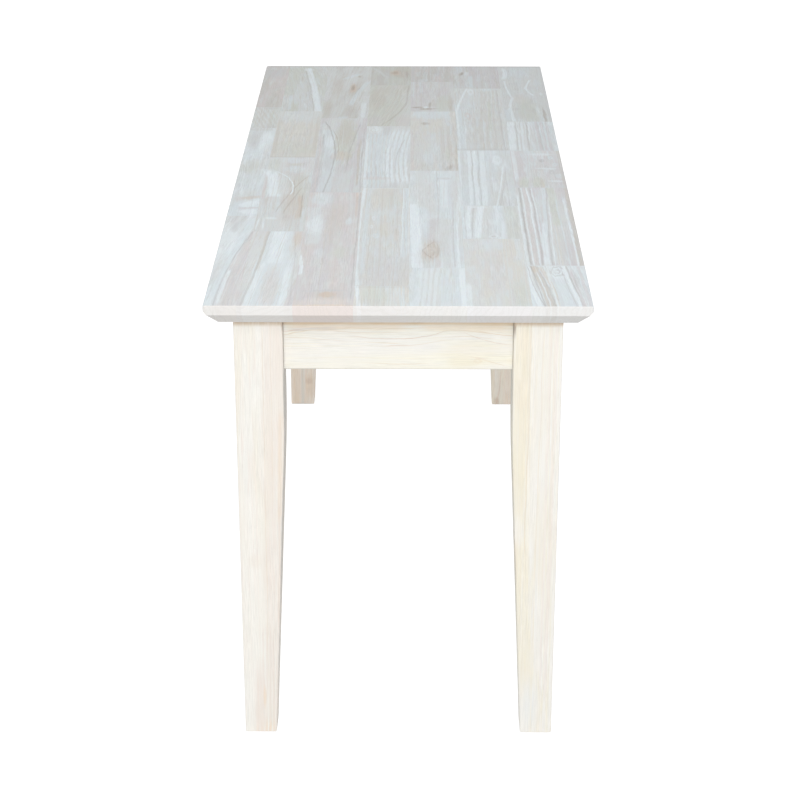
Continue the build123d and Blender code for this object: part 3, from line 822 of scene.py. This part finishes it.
        streak((100, 353.8), (372, 353.8), 4.4, UMBER, 0.75, soft=0.25),
    ], wavy=1.0),
    "7c": stave((STONE, MAUVE), (SILVER, 0.6, 5), (MAUVE, 0.55, 4), [
        patch((392, 311), 40, 11, OLIVE, 0.9),
        patch((390, 326), 44, 13, OLIVE, 0.9),
        patch((380, 330), 50, 5, HONEY, 0.4),
        streak((400, 303.5), (515, 302.5), 5, MIST, 0.6),
        streak((400, 308), (515, 309), 3, MAUVE, 0.8),
        streak((410, 317), (515, 320), 6, SILVER, 0.5, pitch=3),
        patch((474, 334), 12, 6, DUSK, 0.56),
        patch((450, 338), 16, 7, SMOKE, 0.7, rings=1.0),
        patch((486, 344), 20, 9, SILVER, 0.9, rings=1.0),
        patch((500, 334), 9, 26, MIST, 0.5, lean=0.2),
        patch((444, 336), 6, 24, MIST, 0.6, lean=-0.2),
        patch((396, 346), 8, 14, MIST, 0.6),
        patch((460, 348), 18, 8, SILVER, 0.7, rings=1.0),
        patch((430, 343), 24, 9, SMOKE, 0.7, rings=1.0),
        patch((415, 350), 18, 8, SILVER, 0.7),
        streak((372, 354), (515, 354), 4, UMBER, 0.5),
    ], wavy=3.4, lift=1.015),
    "7d": stave((STONE, SILVER), (MIST, 0.5, 5), (MAUVE, 0.5, 3), [
        streak((515, 304), (640, 306), 8, MIST, 0.9, soft=0.3),
        streak((515, 315), (640, 318), 10, MIST, 0.75, pitch=4.4),
        streak((515, 310), (640, 311.5), 1.6, DUSK, 0.35),
        streak((515, 322.5), (640, 324), 1.8, DUSK, 0.35),
        streak((560, 325), (640, 326.5), 1.6, MIST, 0.8),
        streak((515, 341), (640, 340), 18, MAUVE, 0.8, pitch=6),
        streak((515, 338), (640, 337), 2, DUSK, 0.24),
    ]),
    "7e": stave((STONE, STONE), (SILVER, 0.55, 7), (SMOKE, 0.45, 4), [
        streak((640, 311), (700, 308), 4.6, MIST, 0.9, bend=-1, feather=3),
        streak((695, 308), (750, 312.5), 3.4, MIST, 0.9, bend=-1, feather=3),
        streak((745, 312.5), (835, 306), 2.4, MIST, 0.85, bend=-1, feather=3),
        streak((845, 305), (900, 307), 6, MIST, 0.9, bend=2),
        streak((640, 304), (690, 305), 6, SILVER, 0.8),
        streak((796, 331), (842, 339), 2.6, MIST, 0.9, bend=-1, feather=3),
        streak((764, 339), (800, 331), 3.2, MIST, 0.95, bend=-1, feather=3),
        patch((690, 330), 100, 26, OLIVE, 0.8),
        patch((746, 322), 40, 14, SAND, 0.6),
        patch((670, 348), 60, 3.6, BARK, 0.59),
        patch((690, 341), 50, 4, MIST, 0.5),
        patch((878, 325), 50, 26, SILVER, 0.8),
        patch((698, 315), 12, 7, SMOKE, 0.8),
        patch((770, 348), 14, 4, MIST, 0.7),
    ]),
}
# Tones of the sawn ends, row by row, and a dull line along the far edge
row_end_tones = [tone(241, 238, 234), tone(242, 240, 237), tone(240, 231, 227), tone(243, 240, 238),
                 tone(243, 241, 238), tone(244, 242, 242), tone(241, 240, 238)]
far_line = (2 * seat_end * MM, 7, 0.8, DUSK)
# Painted light: staves are made paler at the left end, nearest the lamps, and darker step by step toward the
# far end.
near_end_painted_light = 1.068
painted_light_falloff_step = 0.038

for seed, (place_name, look) in enumerate(sorted(staves.items())):
    row, letter = place_name
    last = f"{row}{chr(ord(letter) + 1)}" not in staves
    seams = look.pop("seams", []) + ([far_line] if last else [])
    # A stave's own paleness, times the painted light of its place along the seat
    lift = look.pop("lift", 1.0) * (near_end_painted_light - painted_light_falloff_step * "abcde".index(letter))
    finish = wood_finish(f"seat stave {place_name}", stave_axes, seed * 13.7, seams=seams, lift=lift,
                         cut_tone=row_end_tones[int(row) - 1], **look)
    wear(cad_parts[f"seat_stave_{place_name}"], finish)


# Pieces made in more detail than the solids

def as_mesh(name, shape):
    """A mesh of the shape, which is used up."""
    mesh = bpy.data.meshes.new(name)
    shape.to_mesh(mesh)
    shape.free()
    return mesh


def stand_up(name, shape, material):
    """An object of the shape in the scene, in its material."""
    piece = bpy.data.objects.new(name, as_mesh(name, shape))
    bpy.context.scene.collection.objects.link(piece)
    wear(piece, material)
    return piece


def finished_piece(name, shape, material, node):
    """A closed piece of the shape, which stands for a node of the bench."""
    bmesh.ops.remove_doubles(shape, verts=shape.verts, dist=1e-6)
    bmesh.ops.recalc_face_normals(shape, faces=shape.faces)
    piece = stand_up(name, shape, material)
    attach(piece, "root")
    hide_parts(node)


def ease(height):
    """How thick the leg is at a height: straight above the taper, which starts softly."""
    full_size = leg_size + joint_closing
    slope = (full_size - foot_size) / taper_start
    below = taper_start - height
    if below > taper_ease:
        return full_size - slope * below
    if below < -taper_ease:
        return full_size
    return full_size - slope * (below + taper_ease) ** 2 / (4 * taper_ease)


def leg_shape(side_x, side_y):
    """A square leg, tapered on its two inner faces, with a flat for the bolt and eased edges."""
    steps = 8
    heights = [0.0]
    heights += [taper_start - taper_ease + step * 2 * taper_ease / steps for step in range(steps + 1)]
    heights += [block_bottom, seat_underside]
    shape = bmesh.new()
    outer = Vector((side_x * leg_outer_x, side_y * leg_outer_y, 0))
    corners = [(0, 0), (1, 0), (1, 1), (0, 1)]
    loop = [
        shape.verts.new(outer - Vector((side_x * u * foot_size, side_y * v * foot_size, 0)))
        for u, v in corners
    ]
    shape.faces.new(loop)
    edges = list(shape.edges)
    for height in heights[1:]:
        grown = bmesh.ops.extrude_edge_only(shape, edges=edges)["geom"]
        loop = [item for item in grown if isinstance(item, bmesh.types.BMVert)]
        edges = [item for item in grown if isinstance(item, bmesh.types.BMEdge)]
        size = ease(height)
        for vert in loop:
            inner_x = abs(vert.co.x - outer.x) > 1e-6
            inner_y = abs(vert.co.y - outer.y) > 1e-6
            vert.co = outer + Vector((-side_x * size * inner_x, -side_y * size * inner_y, height))
    bmesh.ops.contextual_create(shape, geom=edges)

    def long_edges(inner_only, low, high):
        """Edges that run up the leg between two heights, all or only those of the inner corner."""
        found = []
        for edge in shape.edges:
            tops = sorted(vert.co.z for vert in edge.verts)
            if tops[1] - tops[0] < 1e-4 or tops[0] < low - 1e-5 or tops[1] > high + 1e-5:
                continue
            middle = (edge.verts[0].co + edge.verts[1].co) / 2 - outer
            inner = abs(middle.x) > 1e-3 and abs(middle.y) > 1e-3
            if inner or not inner_only:
                found.append(edge)
        return found

    bmesh.ops.bevel(shape, geom=long_edges(True, block_bottom, seat_underside), offset=leg_flat,
                    affect="EDGES", segments=1, profile=0.5, material=-1)
    inner_low = long_edges(True, 0.0, block_bottom)
    outer_all = [edge for edge in long_edges(False, 0.0, seat_underside)
                 if edge not in long_edges(True, 0.0, seat_underside)]
    bmesh.ops.bevel(shape, geom=inner_low + outer_all, offset=leg_arris,
                    affect="EDGES", segments=3, profile=0.5, material=-1)
    foot = [edge for edge in shape.edges if all(vert.co.z < 1e-5 for vert in edge.verts)]
    bmesh.ops.bevel(shape, geom=foot, offset=foot_arris,
                    affect="EDGES", segments=3, profile=0.5, material=-1)
    return shape


# The legs. Their marks are in millimetres from the foot and across the face that looks out at the
# left end: from the outer edge on the back legs, from the inner edge on the front legs.

# Painted shade: a band of the SHADE tone at the top of each leg, darkest right under the seat, where the
# seat's overhang shades it.
painted_shade_under_seat = (seat_underside * MM, 7, 0.95, SHADE)
back_leg_axes = (("Z", 1, 0), ("Y", -1, leg_outer_y * MM), ("X", 1, leg_outer_x * MM))
front_leg_axes = (("Z", 1, 0), ("Y", -1, -(leg_outer_y - leg_size) * MM), ("X", 1, leg_outer_x * MM))

back_left_marks = [
    streak((0, 35), (437, 38), 23, BLUSH, 0.6, soft=0.5),
    streak((-5, 14), (260, 10), 22, CHALK, 0.7, soft=0.6),
    streak((305, 13), (405, 9), 6, IVORY, 0.8),
    streak((235, 39), (345, 42), 3.4, PEACH, 0.4, soft=0.8),
    streak((-5, 30), (200, 33), 8, CHALK, 0.35, soft=0.8),
    streak((120, 35), (250, 40), 2, CLAY, 0.2, soft=0.8),
    patch((190, 14), 16, 12, TAN, 0.12),
    patch((178, 27), 60, 12, BLUSH, 0.5),
    streak((0, 24), (118, 26), 15, CLAY, 0.16, pitch=3.4),
    streak((-5, 19), (12, 20), 18, PEACH, 0.5, pitch=4.2),
    streak((-5, 15), (70, 16), 9, BLUSH, 0.9, soft=0.5, feather=20),
    patch((40, 20), 22, 3, PEACH, 0.5),
    streak((60, 24), (430, 27), 1.0, TAN, 0.22),
    streak((250, 33), (437, 34.5), 0.9, TAN, 0.2),
    # Painted shade: a grey strip along the inner edge colours the leg's inner face, which lies in shade.
    streak((-5, 31.6), (320, 45.6), 1.6, INNER_FACE_SHADE, 0.5, soft=0.3),
    streak((320, 45.6), (385, 45.6), 1.6, INNER_FACE_SHADE, 0.5, soft=0.3),
    # Painted shade: a dark strip on the inner face at the top of the leg, in the corner by the apron under
    # the seat.
    streak((428, 45.2), (440, 45.2), 2.6, BARK, 0.85, soft=0.5, feather=7),
]
front_left_marks = [
    streak((50, 19), (300, 6), 14, BUTTER, 0.7, soft=0.5, feather=25),
    streak((270, 7), (440, 8), 15, BUTTER, 0.75, soft=0.35, feather=20),
    patch((400, 8), 90, 15, PEACH, 0.12),
    patch((345, 10), 60, 9, PEACH, 0.1),
    streak((200, 14), (440, 15.5), 0.9, TAN, 0.3),
    streak((330, 18), (437, 19), 3.2, CHALK, 0.7),
    patch((222, 7), 34, 11, CHALK, 0.8),
    streak((150, 3), (215, 5), 5, PEACH, 0.3, soft=0.7),
    patch((128, 4), 8, 4, PEACH, 0.7),
    patch((66, 7), 8, 3, PEACH, 0.6),
    patch((34, 22), 50, 13, FROST, 0.35),
    streak((40, 36), (437, 38), 9, BLUSH, 0.5, pitch=6),
    streak((100, 24), (420, 27), 1.0, TAN, 0.2),
    # Painted shade: a grey strip along the inner edge colours the leg's inner face, which lies in shade.
    streak((-5, 13.4), (320, -0.6), 1.6, INNER_FACE_SHADE, 0.3, soft=0.3),
    streak((320, -0.6), (385, -0.6), 1.6, INNER_FACE_SHADE, 0.3, soft=0.3),
    # Painted shade: a dark strip on the inner face at the top of the leg, in the corner by the apron under
    # the seat.
    streak((424, -0.2), (440, -0.2), 2.6, BARK, 0.85, soft=0.5, feather=8),
]
back_right_marks = [
    streak((-5, 7), (70, 6), 9, PEACH, 0.45, soft=0.7),
    streak((-5, 16), (70, 16.5), 4, SAND, 0.5, soft=0.6),
    patch((30, 26), 34, 14, PEACH, 0.5),
    patch((35, 25), 9, 9, CLAY, 0.35),
]
front_right_marks = [
    streak((-5, 16), (60, 11), 6, BUTTER, 0.45, soft=0.7),
    streak((-5, 19), (46, 25), 2.2, CLAY, 0.3, bend=1, soft=0.6),
    patch((4, 20), 12, 8, CLAY, 0.45),
    streak((-5, 36), (60, 37), 12, PEACH, 0.15, soft=0.8),
]
bare = dict(dust=0.0, pores=0.12, fine=0.06, mottle=0.02, spread=(80, 60))
# The right legs, at the far end under the seat, have paler, warmer grounds than the left ones: partly their
# own tone, partly painted light for the light they lack there.
leg_looks = {
    "front_left": (front_leg_axes, 433.9, (CREAM, IVORY), (IVORY, 0.45, 8), (BUTTER, 0.45, 5),
                   front_left_marks, 0.8, 1.012),
    "front_right": (front_leg_axes, 491.7, (PETAL, WARM), (CHALK, 0.3, 5), (PEACH, 0.15, 3),
                    front_right_marks, 1.2, 1.01),
    "back_left": (back_leg_axes, 401.3, (CREAM, IVORY), (IVORY, 0.5, 8), (BLUSH, 0.5, 4),
                  back_left_marks, 0.8, 1.012),
    "back_right": (back_leg_axes, 467.1, (PETAL, PETAL), (CHALK, 0.3, 5), (PEACH, 0.35, 3),
                   back_right_marks, 1.2, 1.0),
}
for corner, (axes, seed, grounds, wash, vein, marks, wavy, lift) in leg_looks.items():
    side_name, end_name = corner.split("_")
    finish = wood_finish(f"leg wood, {side_name} {end_name}", axes, seed, grounds, wash, vein, marks,
                         seams=[painted_shade_under_seat], end_axis=2, wavy=wavy, lift=lift, **bare)
    side_x = -1 if end_name == "left" else 1
    side_y = -1 if side_name == "front" else 1
    finished_piece(f"bench_leg_{corner}", leg_shape(side_x, side_y), finish, f"leg_{corner}")


# Aprons and corner blocks keep their solids. The marks of the left apron are in millimetres from its
# back end and from its top.

short_apron_axes = (("Y", -1, apron_end_y * MM), ("Z", -1, seat_underside * MM), ("X", 1, apron_face_x * MM))
long_apron_axes = (("X", 1, seat_end * MM), ("Z", -1, seat_underside * MM), ("Y", 1, 0))
left_apron_marks = [
    patch((2, 26), 5, 70, IVORY, 0.8),
    # Painted shade under the seat: the amber streak along the apron's top and the two peach streaks below it,
    # where that shade fades.
    streak((-10, 4), (230, 4), 7, UNDER_SEAT_SHADE, 0.9, soft=0.6),
    streak((8, 9.5), (112, 9), 7, PEACH, 0.5, soft=0.8),
    streak((130, 9), (208, 10.5), 7, PEACH, 0.5, soft=0.8),
    streak((6, 12.5), (48, 11), 3, ROSE, 0.6, soft=0.8),
    streak((0, 17.5), (52, 13), 0.9, TAN, 0.5, bend=-2),
    streak((0, 14.5), (16, 12.5), 1.2, CLAY, 0.4),
    streak((30, 11), (130, 10.5), 0.8, TAN, 0.6, bend=0.8),
    streak((48, 14), (104, 15), 0.7, TAN, 0.5, bend=1),
    streak((0, 20), (60, 24), 0.8, TAN, 0.35, bend=-1),
    streak((66, 19), (120, 21.4), 0.7, CLAY, 0.4, bend=1.2),
    streak((112, 21.6), (148, 13.5), 0.7, CLAY, 0.55, bend=2.0),
    streak((74, 24), (112, 27), 0.7, TAN, 0.45),
    streak((92, 28.6), (118, 28.4), 0.7, CLAY, 0.5),
    streak((116, 28), (150, 22), 0.7, TAN, 0.3, bend=1),
    streak((150, 13), (190, 16), 0.7, TAN, 0.5, bend=-1.5),
    streak((168, 15), (208, 27), 0.7, CLAY, 0.4, bend=1.6),
    streak((180, 13), (214, 18), 0.7, TAN, 0.7, bend=0.8),
    streak((158, 18), (200, 22), 0.7, TAN, 0.35, bend=-1),
    streak((176, 39.5), (188, 41.5), 1.2, CLAY, 0.5),
    streak((186, 42), (206, 48), 0.7, TAN, 0.6),
    patch((181, 43), 10, 6, TAN, 0.5, rings=1.0),
    streak((78, 45.5), (132, 46), 0.7, TAN, 0.4, bend=1),
    patch((176, 34), 60, 26, BUTTER, 0.5),
    patch((166, 45), 26, 10, BUTTER, 0.7),
    patch((50, 34), 90, 26, IVORY, 0.6),
]
apron_looks = {
    "left": (short_apron_axes, 521.3, (LINEN, IVORY), (IVORY, 0.5, 6), (BUTTER, 0.4, 1.6),
             left_apron_marks, 1, 1.0),
    "right": (short_apron_axes, 547.7, (CREAM, BUTTER), (IVORY, 0.4, 6), (TAN, 0.4, 1.8), (), 1, 1.4),
    "front": (long_apron_axes, 571.1, (CREAM, BUTTER), (IVORY, 0.4, 6), (TAN, 0.4, 2.0), (), 0, 1.6),
    "back": (long_apron_axes, 599.9, (BUTTER, CREAM), (IVORY, 0.4, 7), (TAN, 0.4, 2.0), (), 0, 1.6),
}
for side_name, (axes, seed, grounds, wash, vein, marks, end_axis, wavy) in apron_looks.items():
    finish = wood_finish(f"apron wood, {side_name}", axes, seed, grounds, wash, vein, marks,
                         end_axis=end_axis, wavy=wavy, **bare)
    wear(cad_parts[f"apron_{side_name}"], finish)

block_axes = (("X", 1, 0), ("Z", 1, 0), ("Y", 1, 0))
block_finish = wood_finish("corner block wood", block_axes, 631.3, (SAND, CREAM), (CREAM, 0.4, 6),
                           (TAN, 0.5, 2.0), dust=0.0, fine=0.04)
for side_name in ("front", "back"):
    for end_name in ("left", "right"):
        wear(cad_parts[f"corner_block_{side_name}_{end_name}"], block_finish)


# Steel of the fixings

def steel_finish(name, bright, dull):
    """Zinc plated steel, cloudy and finely scratched."""
    material, tree = bare_material(name)
    place = put(tree, "ShaderNodeTexCoord").outputs["Object"]
    cloud = put(tree, "ShaderNodeTexNoise", {"Vector": place, "Scale": 260.0, "Detail": 3.0}).outputs[0]
    scratch = put(tree, "ShaderNodeTexNoise", {"Vector": place, "Scale": 1900.0, "Detail": 2.0}).outputs[0]
    coat = blend_tone(tree, ramp(tree, cloud, 0.35, 0.65), bright, dull)
    rough = ramp(tree, scratch, 0.3, 0.7, 0.26, 0.44)
    bump = put(tree, "ShaderNodeBump", {"Strength": 0.15, "Distance": 0.0001, "Height": scratch}).outputs[0]
    sockets = {"Base Color": coat, "Metallic": 1.0, "Roughness": rough, "Normal": bump}
    surface(tree, put(tree, "ShaderNodeBsdfPrincipled", sockets).outputs[0])
    return material


zinc = steel_finish("zinc plated steel", tone(200, 202, 204), tone(178, 180, 180))


# The fixings, each made upright at the origin and then set in its places. Heights are measured from
# the leg's flat for the bolt, its nut and its washer, and from the seat's underside for the screw.

def reach(outline, size, angle):
    """How far an outline of that size lies from its middle, in one direction."""
    if outline == "square":
        return size / max(abs(math.cos(angle)), abs(math.sin(angle)))
    if outline == "hexagon":
        return size / math.cos((angle + math.pi / 6) % (math.pi / 3) - math.pi / 6)
    return size


def sleeve(stations, points, hollow):
    """A turned or flat-sided body. Each station is an outline, its size, its height and the slope
    of its corners. A hollow body joins its last station to its first, any other is capped."""
    shape = bmesh.new()
    ring = bmesh.ops.create_circle(shape, segments=points, radius=1.0)["verts"]
    edges = list(shape.edges)
    first, first_edges = ring, edges
    for number, (outline, size, height, slope) in enumerate(stations):
        if number:
            grown = bmesh.ops.extrude_edge_only(shape, edges=edges)["geom"]
            ring = [item for item in grown if isinstance(item, bmesh.types.BMVert)]
            edges = [item for item in grown if isinstance(item, bmesh.types.BMEdge)
                     and all(vert in ring for vert in item.verts)]
        for vert in ring:
            angle = math.atan2(vert.co.y, vert.co.x)
            far = reach(outline, size, angle)
            vert.co = (far * math.cos(angle), far * math.sin(angle), height + slope * (far - size))
    if hollow:
        bmesh.ops.bridge_loops(shape, edges=first_edges + edges)
    else:
        bmesh.ops.contextual_create(shape, geom=first_edges)
        bmesh.ops.contextual_create(shape, geom=edges)
    return shape


def thread(low, high, root, crest, pitch):
    """A screw thread with a cap at each end: one tooth swept along a helix and cut off square."""
    shape = bmesh.new()
    start = low - 2 * pitch
    tooth = [shape.verts.new((size, 0, start + part * pitch))
             for size, part in ((root, 0.0), (crest, 0.45), (crest, 0.55), (root, 1.0))]
    sides = [shape.edges.new(pair) for pair in zip(tooth, tooth[1:])]
    turns = math.ceil((high - low) / pitch) + 3
    steps = 16
    bmesh.ops.spin(shape, geom=tooth + sides, axis=(0, 0, 1), dvec=(0, 0, pitch / steps),
                   angle=FULL_TURN * turns, steps=steps * turns, use_merge=False)
    bmesh.ops.remove_doubles(shape, verts=shape.verts, dist=1e-6)
    for height, side in ((low, -1), (high, 1)):
        everything = shape.verts[:] + shape.edges[:] + shape.faces[:]
        cut = bmesh.ops.bisect_plane(shape, geom=everything, plane_co=(0, 0, height),
                                     plane_no=(0, 0, side), clear_outer=True)["geom_cut"]
        rim = [item for item in cut if isinstance(item, bmesh.types.BMEdge)]
        bmesh.ops.contextual_create(shape, geom=rim)
    return shape


def gather(parts):
    """One shape of several."""
    whole = bmesh.new()
    for part in parts:
        bmesh.ops.recalc_face_normals(part, faces=part.faces)
        mesh = as_mesh("part", part)
        whole.from_mesh(mesh)
        bpy.data.meshes.remove(mesh)
    return whole


def set_in(shape, places):
    """Copies of the shape, one at each place, with its upright axis turned to the direction given."""
    mesh = as_mesh("fixing", shape)
    whole = bmesh.new()
    for place, direction in places:
        before = len(whole.verts)
        whole.from_mesh(mesh)
        whole.verts.ensure_lookup_table()
        turn = Vector((0, 0, 1)).rotation_difference(Vector(direction)).to_matrix()
        bmesh.ops.rotate(whole, verts=whole.verts[before:], cent=(0, 0, 0), matrix=turn)
        bmesh.ops.translate(whole, verts=whole.verts[before:], vec=place)
    bpy.data.meshes.remove(mesh)
    return whole


bolt_places = [
    ((side_x * bolt_start_x, side_y * bolt_start_y, fixing_height), (-side_x, -side_y, 0))
    for side_x in (-1, 1)
    for side_y in (-1, 1)
]
screw_places = [
    ((step * screw_side_step, side * screw_side_y, seat_underside),
     (0, -side * math.sin(screw_tilt), -math.cos(screw_tilt)))
    for side in (-1, 1)
    for step in (-1, 0, 1)
]
screw_places += [
    ((side * screw_end_x, 0, seat_underside), (-side * math.sin(screw_tilt), 0, -math.cos(screw_tilt)))
    for side in (-1, 1)
]

def rod(low_size, low, high_size, high, points=24):
    """A round rod between two heights, with a size at each."""
    return sleeve([("round", low_size, low, 0), ("round", high_size, high, 0)], points, False)


nut_low = bolt_block_face + washer_thickness
nut_top = nut_low + nut_height
nut_cone = math.tan(math.radians(30))
bolt_shape = gather([
    thread(-bolt_depth + 0.004, -0.002, wood_thread_root, bolt_radius, wood_thread_pitch),
    rod(0.0006, -bolt_depth, wood_thread_root, -bolt_depth + 0.0045, 16),
    rod(bolt_shank, -0.0025, bolt_shank, 0.0085),
    thread(0.008, bolt_end - 0.001, machine_thread_root, bolt_radius, machine_thread_pitch),
    rod(machine_thread_root + fine_edge, bolt_end - 0.0012, 0.0029, bolt_end),
])
nut_shape = sleeve([
    ("round", nut_bore, nut_low + 0.0005, 0),
    ("round", nut_mouth, nut_low, 0),
    ("round", nut_ring, nut_low, 0),
    ("hexagon", nut_flat, nut_low + fine_edge, nut_cone),
    ("hexagon", nut_flat, nut_top - fine_edge, -nut_cone),
    ("round", nut_ring, nut_top, 0),
    ("round", nut_mouth, nut_top, 0),
    ("round", nut_bore, nut_top - 0.0005, 0),
], 48, True)
washer_shape = sleeve([
    ("round", washer_hole, bolt_block_face, 0),
    ("round", washer_radius - washer_edge, bolt_block_face, 0),
    ("round", washer_radius, bolt_block_face + washer_edge, 0),
    ("round", washer_radius, nut_low - washer_edge, 0),
    ("round", washer_radius - washer_edge, nut_low, 0),
    ("round", washer_hole + fine_edge, nut_low, 0),
    ("round", washer_hole, nut_low - fine_edge, 0),
], 48, True)
screw_top = screw_grip + screw_head_height
thread_end = screw_grip * 0.6
screw_shape = gather([
    thread(-screw_bite + 0.004, thread_end, screw_root, screw_radius, screw_pitch),
    rod(0.0003, -screw_bite, screw_root, -screw_bite + 0.0042, 16),
    rod(screw_shank, thread_end - 0.0003, screw_shank, screw_grip + 0.0003),
    sleeve([
        ("round", screw_head_radius - fine_edge, screw_grip, 0),
        ("round", screw_head_radius, screw_grip + fine_edge, 0),
        ("round", screw_head_radius, screw_grip + 0.0007, 0),
        ("round", screw_head_radius - fine_edge, screw_grip + 0.0009, 0),
        ("round", 0.0032, screw_grip + 0.0010, 0),
        ("round", 0.0030, screw_grip + 0.0018, 0),
        ("round", 0.0026, screw_top - fine_edge, 0),
        ("round", 0.0021, screw_top, 0),
        ("square", drive_flat, screw_top, 0),
        ("square", drive_flat - 0.0001, screw_top - drive_depth, 0),
    ], 32, False),
])
for node, shape, places in (("hanger_bolts", bolt_shape, bolt_places), ("bolt_nuts", nut_shape, bolt_places),
                            ("bolt_washers", washer_shape, bolt_places),
                            ("seat_screws", screw_shape, screw_places)):
    finished_piece(f"bench_{node}", set_in(shape, places), zinc, node)


# Floor, backdrop light and camera

def studio_floor():
    """A pale floor that takes the bench's shadow and otherwise looks white."""
    shape = bmesh.new()
    bmesh.ops.create_grid(shape, x_segments=1, y_segments=1, size=30)
    material, tree = bare_material("studio floor")
    matt = put(tree, "ShaderNodeBsdfDiffuse", {"Color": FLOOR_GREY}).outputs[0]
    glow = put(tree, "ShaderNodeEmission", {"Color": WHITE, "Strength": floor_glow}).outputs[0]
    lit = put(tree, "ShaderNodeAddShader", {0: matt, 1: glow}).outputs[0]
    surface(tree, put(tree, "ShaderNodeMixShader", {0: looked_at(tree), 1: matt, 2: lit}).outputs[0])
    stand_up("studio_floor", shape, material)


def studio_world():
    """An even white surround, plain white where it is looked at."""
    world = bpy.data.worlds.new("studio")
    bpy.context.scene.world = world
    world.use_nodes = True
    tree = world.node_tree
    tree.nodes.clear()
    strength = sum_up(tree, "MULTIPLY_ADD", looked_at(tree), 1.0 - world_fill, world_fill)
    back = put(tree, "ShaderNodeBackground", {"Color": WHITE, "Strength": strength}).outputs[0]
    surface(tree, back, "ShaderNodeOutputWorld")


def soft_lamp(name, place, target, width, height, power):
    """A soft box that looks at a target and can't be seen itself."""
    lamp = bpy.data.lights.new(name, "AREA")
    lamp.shape = "RECTANGLE"
    lamp.size, lamp.size_y = width, height
    lamp.energy = power
    holder = bpy.data.objects.new(name, lamp)
    bpy.context.scene.collection.objects.link(holder)
    holder.location = place
    holder.rotation_euler = (Vector(target) - Vector(place)).to_track_quat("-Z", "Y").to_euler()
    holder.visible_camera = False


def photo_camera():
    """The camera at the photograph's place and angle."""
    camera = bpy.data.cameras.new("photo_camera")
    camera.lens = camera_lens
    camera.sensor_width = camera_sensor
    camera.clip_end = 100
    holder = bpy.data.objects.new("photo_camera", camera)
    bpy.context.scene.collection.objects.link(holder)
    holder.location = camera_place
    level = math.cos(camera_pitch)
    look = Vector((level * math.cos(camera_yaw), level * math.sin(camera_yaw), -math.sin(camera_pitch)))
    holder.rotation_euler = look.to_track_quat("-Z", "Y").to_euler()
    bpy.context.scene.camera = holder


studio_floor()
studio_world()
soft_lamp("front_light", place=(-8.0, 0.0, 1.3), target=(-0.2, 0.0, 0.25), width=4.0, height=2.4, power=84)
soft_lamp("high_light", place=(-2.6, 0.0, 2.3), target=(-0.3, 0.0, 0.35), width=1.8, height=1.8, power=27)
photo_camera()
bpy.context.scene.view_settings.view_transform = "Standard"
